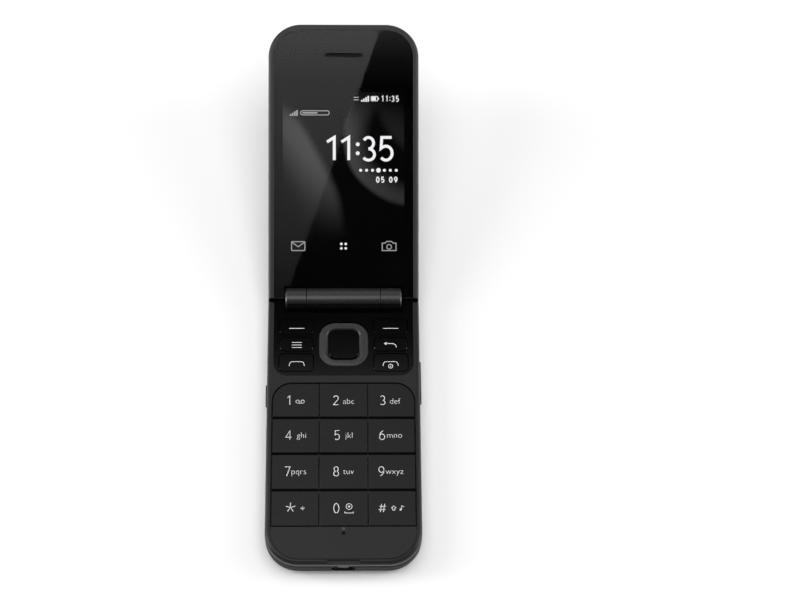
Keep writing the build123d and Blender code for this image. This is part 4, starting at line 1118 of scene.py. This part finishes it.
def makeNumberLegends(s):
    keyTop = topOf("key_4")  # that of key_5 has its finger mark on it
    for k, (key, (digit, gap, beside, *signWidth)) in enumerate(numberKeys.items()):
        levels = (0.0, s["thickness"], basePlace(s["columns"][k % 3], s["rows"][k // 3], keyTop))
        word, width = (None, signWidth[0]) if signWidth else makeWord(beside, s)
        left, right = digitSpan(digit, s["digitHeight"] - s["stroke"])
        digitWidth = right - left + s["stroke"]
        start = -(digitWidth + gap + width) / 2
        bm = bmesh.new()
        middle = start - left + s["stroke"] / 2
        addDigit(bm, digit, middle, 0, s["digitHeight"], s["stroke"], levels)
        if word:
            foot = s["lifts"][k // 3] - s["digitHeight"] / 2
            addWord(bm, word, start + digitWidth + gap, foot, *levels)
        else:
            drawSign(bm, beside, start + digitWidth + gap, 0, levels)
        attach(finishPiece("legend_" + key, bm, finishes["keyPaint"]), key)


def makeFunctionLegends(s):
    for key, (sign, x, along) in functionKeys.items():
        bm = bmesh.new()
        drawSign(bm, sign, 0, 0, (0.0, s["thickness"], basePlace(x, along, topOf(key))))
        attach(finishPiece("legend_" + key, bm, finishes["keyPaint"]), key)


makeNumberLegends(legendSet)
makeFunctionLegends(legendSet)
print("legends on the keys")


# Lid: clear pane, black print behind it, and the lit picture

lidSet = {
    "glassWidth": 50.4,
    "glassStart": 0.9,
    "glassEnd": 98.0,
    "glassCorner": 9.8,
    "glassTop": -0.4,
    "glassBottom": -1.12,
    "printTop": -1.10,
    "printBottom": -1.20,
    "printEase": 0.02,
    "pictureTop": -1.11,
    "signBottom": -1.12,
    "barrelRoom": (42.6, 4.95),  # width and length of the notch round the hinge barrel
    "slot": (13.8, 1.4, 88.8),  # width, length, middle
    "window": (44.0, 58.3, 46.4),
    "windowCorner": 0.4,
    "pictureEdge": 0.2,
    "bevel": 0.06,
}


def glassLoop(s, ease=0.0):
    w = s["glassWidth"] / 2 - ease
    notch, deep = s["barrelRoom"][0] / 2 + ease, s["barrelRoom"][1] + ease
    low, high, r = s["glassStart"] + ease, s["glassEnd"] - ease, s["glassCorner"] - ease
    loop = [(-w, low), (-notch, low), (-notch, deep), (notch, deep), (notch, low), (w, low)]
    for side, start in ((1, 0), (-1, 90)):
        loop += arcPoints(side * (w - r), high - r, r, r, start, start + 90, 16)
    return loop


def slotLoop(s, grow=0.0):
    width, height, middle = s["slot"]
    r = height / 2 + grow
    half = width / 2 - height / 2
    return arcPoints(half, middle, r, r, 90, -90, 8) + arcPoints(-half, middle, r, r, 270, 90, 8)


def makePane(s):
    place = lidPlace(0, 0, 0)
    bm = bmesh.new()
    loops = [glassLoop(s), slotLoop(s)]
    addPlate(bm, loops, s["glassBottom"], s["glassTop"], place, s["bevel"])
    pane = finishPiece("lidPane", bm, finishes["clearGlass"])
    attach(pane, "lid")
    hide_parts("lid_inner_glass")
    bm = bmesh.new()
    width, length, middle = s["window"]
    window = roundedOutline(width, length, s["windowCorner"], (0, middle), 3)
    loops = [glassLoop(s, s["printEase"]), window[::-1], slotLoop(s, s["printEase"])]
    addPlate(bm, loops, s["printBottom"], s["printTop"], place)
    printing = finishPiece("lidPrint", bm, finishes["blackPrint"])
    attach(printing, "lid")


pictureSet = {
    "folds": (
        # x and s of the circle's middle, radius, width of the fold, brightness at the crest
        (39.0, 79.0, 27.0, 18.0, 0.030),
        (-76.5, 17.3, 82.5, 20.0, 0.062),
        (30.0, 63.0, 27.5, 11.0, 0.055),
    ),
    "crestAt": 0.22,  # share of the width
    "crease": 0.65,  # how much darker it is behind the crest
    "creaseSoft": 0.02,
    "ground": 0.0006,
    "driftScale": 0.03,
    "driftDetail": 0.5,
    "bend": (6, 6, 0),
    "lowFade": (20.0, 54.0),  # s where the picture is dark, and where it is full
    "highFade": (77.0, 60.0, 0.05),
    "white": (0.98, 0.99, 1.0, 1),
}


def makeSatinFold(s):
    # one fold of shining cloth along a circle: bright at its crest, dark in the crease behind it
    group, source, result = newTree(
        "Shader", "satinFold",
        {
            "Place": (0, 0, 0), "Middle": (0, 0, 0), "Radius": 20.0, "Width": 8.0, "Crest": 0.1,
            "Below": 0.0,
        },
        {"Level": "Float"},
    )
    away = addVectorMath(group, "DISTANCE", source["Place"], source["Middle"])["Value"]
    depth = addMath(group, "SUBTRACT", source["Radius"], away)
    share = addMath(group, "DIVIDE", depth, source["Width"])
    rise = addRange(group, share, 0.0, s["crestAt"], smooth=True)
    fall = addRange(group, share, s["crestAt"], 1.0, 1.0, 0.0, True)
    crest = multiply(group, rise, fall, source["Crest"])
    shade = addRange(group, share, -s["creaseSoft"], s["creaseSoft"], smooth=True)
    shade = multiply(group, shade, s["crease"])
    under = multiply(group, source["Below"], addMath(group, "SUBTRACT", 1.0, shade))
    fill(group, result, {"Level": addMath(group, "ADD", under, crest)})
    return group


def makePictureMaterial(s):
    material, tree, shader = newMaterial("screenPicture")
    # object place turned into x and s of the lid, in mm
    shift = -(Matrix.Rotation(-lidLean, 3, "X") @ (hinge / mm))
    place = objectPlace(tree, (1 / mm,) * 3, (-lidLean, 0, 0), tuple(shift))
    flat = addVectorMath(tree, "MULTIPLY", place, (1, 1, 0))["Vector"]
    drift = {"Vector": flat, "Scale": s["driftScale"], "Detail": s["driftDetail"]}
    drift = addNode(tree, "ShaderNodeTexNoise", drift)["Color"]
    bent = addVectorMath(tree, "MULTIPLY_ADD", drift, s["bend"], flat)["Vector"]
    satinFold = makeSatinFold(s)
    level = s["ground"]
    for x, along, radius, width, crest in s["folds"]:
        level = addGroup(
            tree, satinFold, Place=bent, Middle=(x, along, 0), Radius=radius, Width=width,
            Crest=crest, Below=level,
        )["Level"]
    along = addSplit(tree, place)["Y"]
    low = addRange(tree, along, *s["lowFade"], smooth=True)
    high = addRange(tree, along, *s["highFade"], smooth=True)
    level = multiply(tree, level, low, high)
    lit = addMix(tree, level, (0, 0, 0, 1), s["white"])
    fill(tree, shader, {"Emission Color": lit, **litOnly})
    return material


clockSet = {
    "digits": (
        # digits, s, height, stroke, then x of the middle and width share of each
        ("1135", 54.9, 9.3, 1.05, (-3.93, 1.31, 9.2, 15.55), (1.38, 1.38, 1.02, 1.08)),
        ("1135", 73.1, 2.25, 0.34, (14.2, 15.7, 17.9, 19.5), (0.8,) * 4),
        ("0509", 43.7, 2.25, 0.42, (12.4, 14.2, 17.1, 18.9), (0.95,) * 4),
    ),
    "discs": (
        # x, s, radius, sides: two colons, four dots over the label, and a row for the day
        *((5.13, 54.9 + y, 0.72, 16) for y in (-1.63, 1.63)),
        *((16.8, 73.1 + y, 0.2, 8) for y in (-0.5, 0.5)),
        *((x, 19.6 + y, 0.48, 12) for x in (-0.8, 0.8) for y in (-0.8, 0.8)),
        *((6.2 + k * 2.15, 47.1, 0.85 if k == 3 else 0.55, 12) for k in range(7)),
    ),
    # sign, x, s
    "bright": (("signal", 6.6, 73.1), ("cell", 11.2, 73.1)),
    "dim": (
        ("signal", -19.2, 67.9), ("bar", -10.4, 67.9), ("envelope", -16.4, 19.6),
        ("camera", 16.5, 19.6), ("twoLines", 3.7, 73.1),
    ),
}


def makePicture(s, c):
    place = lidPlace(0, 0, 0)
    width, length, middle = s["window"]
    edge = s["pictureEdge"]
    bm = bmesh.new()
    outline = roundedOutline(width + edge, length + edge, s["windowCorner"], (0, middle), 3)
    addPlate(bm, [outline], s["printBottom"], s["pictureTop"], place)
    picture = finishPiece("screenPicture", bm, makePictureMaterial(pictureSet))
    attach(picture, "lid")
    levels = (s["signBottom"], s["printTop"], place)
    bm = bmesh.new()
    for digits, along, height, stroke, places, shares in c["digits"]:
        for digit, x, share in zip(digits, places, shares):
            addDigit(bm, digit, x, along, height, stroke, levels, share)
    for x, along, radius, sides in c["discs"]:
        addDisc(bm, x, along, radius, *levels, sides)
    for sign, x, along in c["bright"]:
        drawSign(bm, sign, x, along, levels)
    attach(finishPiece("screenClock", bm, finishes["brightGlyph"]), "lid")
    bm = bmesh.new()
    for sign, x, along in c["dim"]:
        drawSign(bm, sign, x, along, levels)
    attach(finishPiece("screenSigns", bm, finishes["dimGlyph"]), "lid")


makePane(lidSet)
makePicture(lidSet, clockSet)
print("lid glass and picture ready")


# Geometry node trees

def newGeometryTree(name, **inputs):
    inputs = {"Geometry": "Geometry", **inputs, "Finish": "Material"}
    return newTree("Geometry", name, inputs, {"Geometry": "Geometry"})


def closeTree(tree, source, result, geometry):
    # real geometry with its material
    real = addNode(tree, "GeometryNodeRealizeInstances", {"Geometry": geometry})[0]
    painted = {"Geometry": real, "Material": source["Finish"]}
    fill(tree, result, {"Geometry": addNode(tree, "GeometryNodeSetMaterial", painted)[0]})
    return tree


def growPiece(name, tree, values, material, place, seed=None, smoothAngle=0):
    # the tree's result as a plain mesh, laid in its place
    piece = newPiece(name, seed or bpy.data.meshes.new(name), material)
    modifier = piece.modifiers.new("shape", "NODES")
    modifier.node_group = tree
    values = {**values, "Finish": material}
    for item in tree.interface.items_tree:
        if item.item_type == "SOCKET" and item.in_out == "INPUT" and item.name in values:
            modifier[item.identifier] = values[item.name]
    bpy.context.view_layer.update()
    seen = piece.evaluated_get(bpy.context.evaluated_depsgraph_get())
    grown = bpy.data.meshes.new_from_object(seen)
    piece.modifiers.remove(modifier)
    bm = bmesh.new()
    bm.from_mesh(grown)
    bm.transform(place)
    closeMesh(bm, grown, smoothAngle)
    grown.name = name
    piece.data = grown
    piece.data.materials.clear()
    piece.data.materials.append(material)
    return piece


def addPointRow(tree, count, start, step):
    line = tree.nodes.new("GeometryNodeMeshLine")
    line.mode = "OFFSET"
    values = {"Count": count, "Start Location": start, "Offset": step}
    return fillNode(tree, line, values)["Mesh"]


def makeSweptRing():
    # the input mesh is the cross-section, swept round a rectangle with round corners
    tree, source, result = newGeometryTree(
        "sweptRing", Width=10.0, Height=10.0, Corner=2.0, Steps=12
    )
    path = {"Width": source["Width"], "Height": source["Height"]}
    path = addNode(tree, "GeometryNodeCurvePrimitiveQuadrilateral", path)["Curve"]
    path = {"Curve": path, "Radius": source["Corner"], "Count": source["Steps"]}
    fillet = tree.nodes.new("GeometryNodeFilletCurve")
    fillet.mode = "POLY"
    path = {"Curve": fillNode(tree, fillet, path)["Curve"]}
    upright = tree.nodes.new("GeometryNodeSetCurveNormal")
    upright.mode = "Z_UP"
    path = fillNode(tree, upright, path)["Curve"]
    section = addNode(tree, "GeometryNodeMeshToCurve", {"Mesh": source["Geometry"]})["Curve"]
    sweep = {"Curve": path, "Profile Curve": section}
    sweep = addNode(tree, "GeometryNodeCurveToMesh", sweep)["Mesh"]
    return closeTree(tree, source, result, sweep)


wireSides = 6


def makeWovenScreen():
    # wires that pass over and under each other, in both directions
    tree, source, result = newGeometryTree(
        "wovenScreen", Width=10.0, Height=2.0, Pitch=0.4, Wire=0.1
    )
    join = tree.nodes.new("GeometryNodeJoinGeometry")
    pitch, wire = source["Pitch"], source["Wire"]

    def addVector(x, y, z=0.0):
        return addNode(tree, "ShaderNodeCombineXYZ", {0: x, 1: y, 2: z})[0]

    for across in (True, False):
        length = source["Width" if across else "Height"]
        breadth = source["Height" if across else "Width"]
        half = multiply(tree, length, 0.5)
        ends = [addVector(x, 0.0) if across else addVector(0.0, x)
                for x in (multiply(tree, half, -1.0), half)]
        line = {"Start": ends[0], "End": ends[1]}
        line = addNode(tree, "GeometryNodeCurvePrimitiveLine", line)["Curve"]
        steps = addMath(tree, "ROUND", addMath(tree, "DIVIDE", length, pitch))
        steps = addMath(tree, "ADD", multiply(tree, steps, 2.0), 1.0)
        finer = {"Curve": line, "Count": steps}
        finer = addNode(tree, "GeometryNodeResampleCurve", finer)["Curve"]
        gaps = addMath(tree, "FLOOR", addMath(tree, "DIVIDE", breadth, pitch))
        edge = multiply(tree, gaps, pitch, -0.5)
        start = addVector(0.0, edge) if across else addVector(edge, 0.0)
        step = addVector(0.0, pitch) if across else addVector(pitch, 0.0)
        rows = addPointRow(tree, addMath(tree, "ADD", gaps, 1.0), start, step)
        wires = {"Points": rows, "Instance": finer}
        wires = {"Geometry": addNode(tree, "GeometryNodeInstanceOnPoints", wires)["Instances"]}
        real = addNode(tree, "GeometryNodeRealizeInstances", wires)["Geometry"]
        spot = addSplit(tree, addNode(tree, "GeometryNodeInputPosition", {})[0])
        both = addMath(tree, "DIVIDE", addMath(tree, "ADD", spot["X"], spot["Y"]), pitch)
        sway = addMath(tree, "COSINE", multiply(tree, both, math.pi))
        lift = multiply(tree, sway, wire, 0.5 if across else -0.5)
        moved = {"Geometry": real, "Offset": addVector(0.0, 0.0, lift)}
        moved = addNode(tree, "GeometryNodeSetPosition", moved)["Geometry"]
        section = {"Resolution": wireSides, "Radius": multiply(tree, wire, 0.5)}
        section = addNode(tree, "GeometryNodeCurvePrimitiveCircle", section)["Curve"]
        tube = {"Fill Caps": True, "Curve": moved, "Profile Curve": section}
        tube = addNode(tree, "GeometryNodeCurveToMesh", tube)["Mesh"]
        fill(tree, join.inputs, {"Geometry": tube})
    return closeTree(tree, source, result, join.outputs["Geometry"])


def makeRowOf():
    # the input mesh, repeated along a line
    tree, source, result = newGeometryTree("rowOf", Count=5, First=(0, 0, 0), Step=(1, 0, 0))
    line = addPointRow(tree, source["Count"], source["First"], source["Step"])
    put = {"Points": line, "Instance": source["Geometry"]}
    put = addNode(tree, "GeometryNodeInstanceOnPoints", put)["Instances"]
    return closeTree(tree, source, result, put)


# Navigation ring and woven screens

ringSet = {
    "width": 17.7,
    "height": 16.9,
    "corner": 5.8,
    "holeWidth": 11.1,
    "holeHeight": 11.9,
    "holeCorner": 2.75,
    "cornerSteps": 14,
    # share of the way from the outer edge to the hole, and height against the crest
    "section": (
        (0.0, -1.5), (0.0, -0.58), (0.015, -0.44), (0.05, -0.36), (0.1, -0.33), (0.40, -0.29),
        (0.52, -0.21), (0.62, -0.07), (0.68, -0.01), (0.73, 0.0), (0.78, -0.03), (0.86, -0.16),
        (0.95, -0.36), (0.99, -0.52), (1.0, -0.7), (1.0, -1.5),
    ),
    "smoothAngle": 40,
}


def makeNavRing(s):
    along = (hinge.y - middleOf("nav_ring").y) / mm
    place = basePlace(0, along, topOf("nav_ring"))
    steps = s["cornerSteps"]
    outer = roundedOutline(s["width"], s["height"], s["corner"], steps=steps)
    inner = roundedOutline(s["holeWidth"], s["holeHeight"], s["holeCorner"], steps=steps)
    bm = bmesh.new()
    rings = []
    for share, height in s["section"]:
        flat = [Vector(a).lerp(Vector(b), share) for a, b in zip(outer, inner)]
        rings.append([bm.verts.new(place @ Vector((p.x, p.y, height))) for p in flat])
    for ring, after in zip(rings, rings[1:] + rings[:1]):
        joinRings(bm, ring, after)
    ring = finishPiece("navRing", bm, finishes["ring_metal"], s["smoothAngle"])
    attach(ring, "nav_ring")
    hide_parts("nav_ring")


screenSet = {
    "earpieceSpot": (0, 88.8, -1.34),
    "earpiece": {"Width": 14.4, "Height": 2.1, "Pitch": 0.3, "Wire": 0.12},
    "clothLift": 0.06,
    "cloth": {"Width": 10.0, "Height": 7.4, "Pitch": 0.36, "Wire": 0.14},
}


def makeScreens(s):
    tree = makeWovenScreen()
    place = lidPlace(*s["earpieceSpot"])
    weave = growPiece("earpieceWeave", tree, s["earpiece"], finishes["darkMesh"], place)
    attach(weave, "lid")
    spot = middleOf("loudspeaker")
    spot.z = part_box("loudspeaker")[0].z - s["clothLift"] * mm
    material = finishes["contact_plastic"]
    cloth = growPiece("speakerCloth", tree, s["cloth"], material, drawnAt(spot))
    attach(cloth, "base")


makeNavRing(ringSet)
makeScreens(screenSet)
print("ring and screens grown")


# Camera, microphone and USB details

lensSet = {
    "radii": (2.3, 1.55, 0.9),
    "cornerShare": 0.999,  # of the radius, so that the corners don't meet
    "cornerSteps": 12,
    "section": ((-0.09, 0.0), (0.09, 0.0), (0.09, 0.03), (-0.09, 0.03)),
    "behindGlass": 0.01,
    "smoothAngle": 40,
}


def makeLensRings(s):
    tree = makeSweptRing()
    spot = middleOf("camera_lens")
    spot.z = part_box("camera_lens")[1].z + s["behindGlass"] * mm
    place = drawnAt(spot)
    points = [(x, y, 0) for x, y in s["section"]]
    edges = [(k, (k + 1) % len(points)) for k in range(len(points))]
    for k, radius in enumerate(s["radii"]):
        section = bpy.data.meshes.new("lensSection")
        section.from_pydata(points, edges, [])
        values = {"Width": 2 * radius, "Height": 2 * radius, "Steps": s["cornerSteps"]}
        values["Corner"] = radius * s["cornerShare"]
        name, material = "lensRing" + str(k + 1), finishes["steel"]
        ring = growPiece(name, tree, values, material, place, section, s["smoothAngle"])
        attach(ring, "base")


contactSet = {
    "count": 5,
    "step": 0.65,
    "width": 0.35,
    "length": 3.2,
    "thickness": 0.08,
    "behindMouth": 0.9,
    "aboveMiddle": -0.28,  # lower face of the tongue, from the middle of the socket
}


def makeContacts(s):
    half = s["width"] / 2
    bar = [(-half, 0), (half, 0), (half, s["length"]), (-half, s["length"])]
    bm = bmesh.new()
    addPlate(bm, [bar], -s["thickness"], 0, Matrix())
    seed = bpy.data.meshes.new("contactBar")
    bm.to_mesh(seed)
    bm.free()
    first = (-s["step"] * (s["count"] - 1) / 2, 0, 0)
    values = {"Count": s["count"], "First": first, "Step": (s["step"], 0, 0)}
    spot = middleOf("usb_socket")
    spot.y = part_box("usb_socket")[0].y + s["behindMouth"] * mm
    spot.z += s["aboveMiddle"] * mm
    material = finishes["spring_steel"]
    contacts = growPiece("usbContacts", makeRowOf(), values, material, drawnAt(spot), seed)
    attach(contacts, "base")


feltSet = {"radius": 0.57, "thickness": 0.1, "down": 0.35}


def makeMicFelt(s):
    # dust felt a little way down the hole
    along = (hinge.y - middleOf("microphone").y) / mm
    place = basePlace(0, along, topOf("base_front_housing") - s["down"])
    bm = bmesh.new()
    addDisc(bm, 0, 0, s["radius"], -s["thickness"], 0.0, place)
    felt = finishPiece("micFelt", bm, finishes["rubber"])
    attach(felt, "base")


makeLensRings(lensSet)
makeContacts(contactSet)
makeMicFelt(feltSet)


# Softened edges that catch the light

softEdges = {"menu_key": 0.22, "back_key": 0.22}

for name, width in softEdges.items():
    edge = frame["nodes"][name].modifiers.new("softEdge", "BEVEL")
    edge.width = width * mm
    edge.segments = 2
    edge.limit_method = "ANGLE"
    edge.angle_limit = math.radians(50)
print("small details ready")
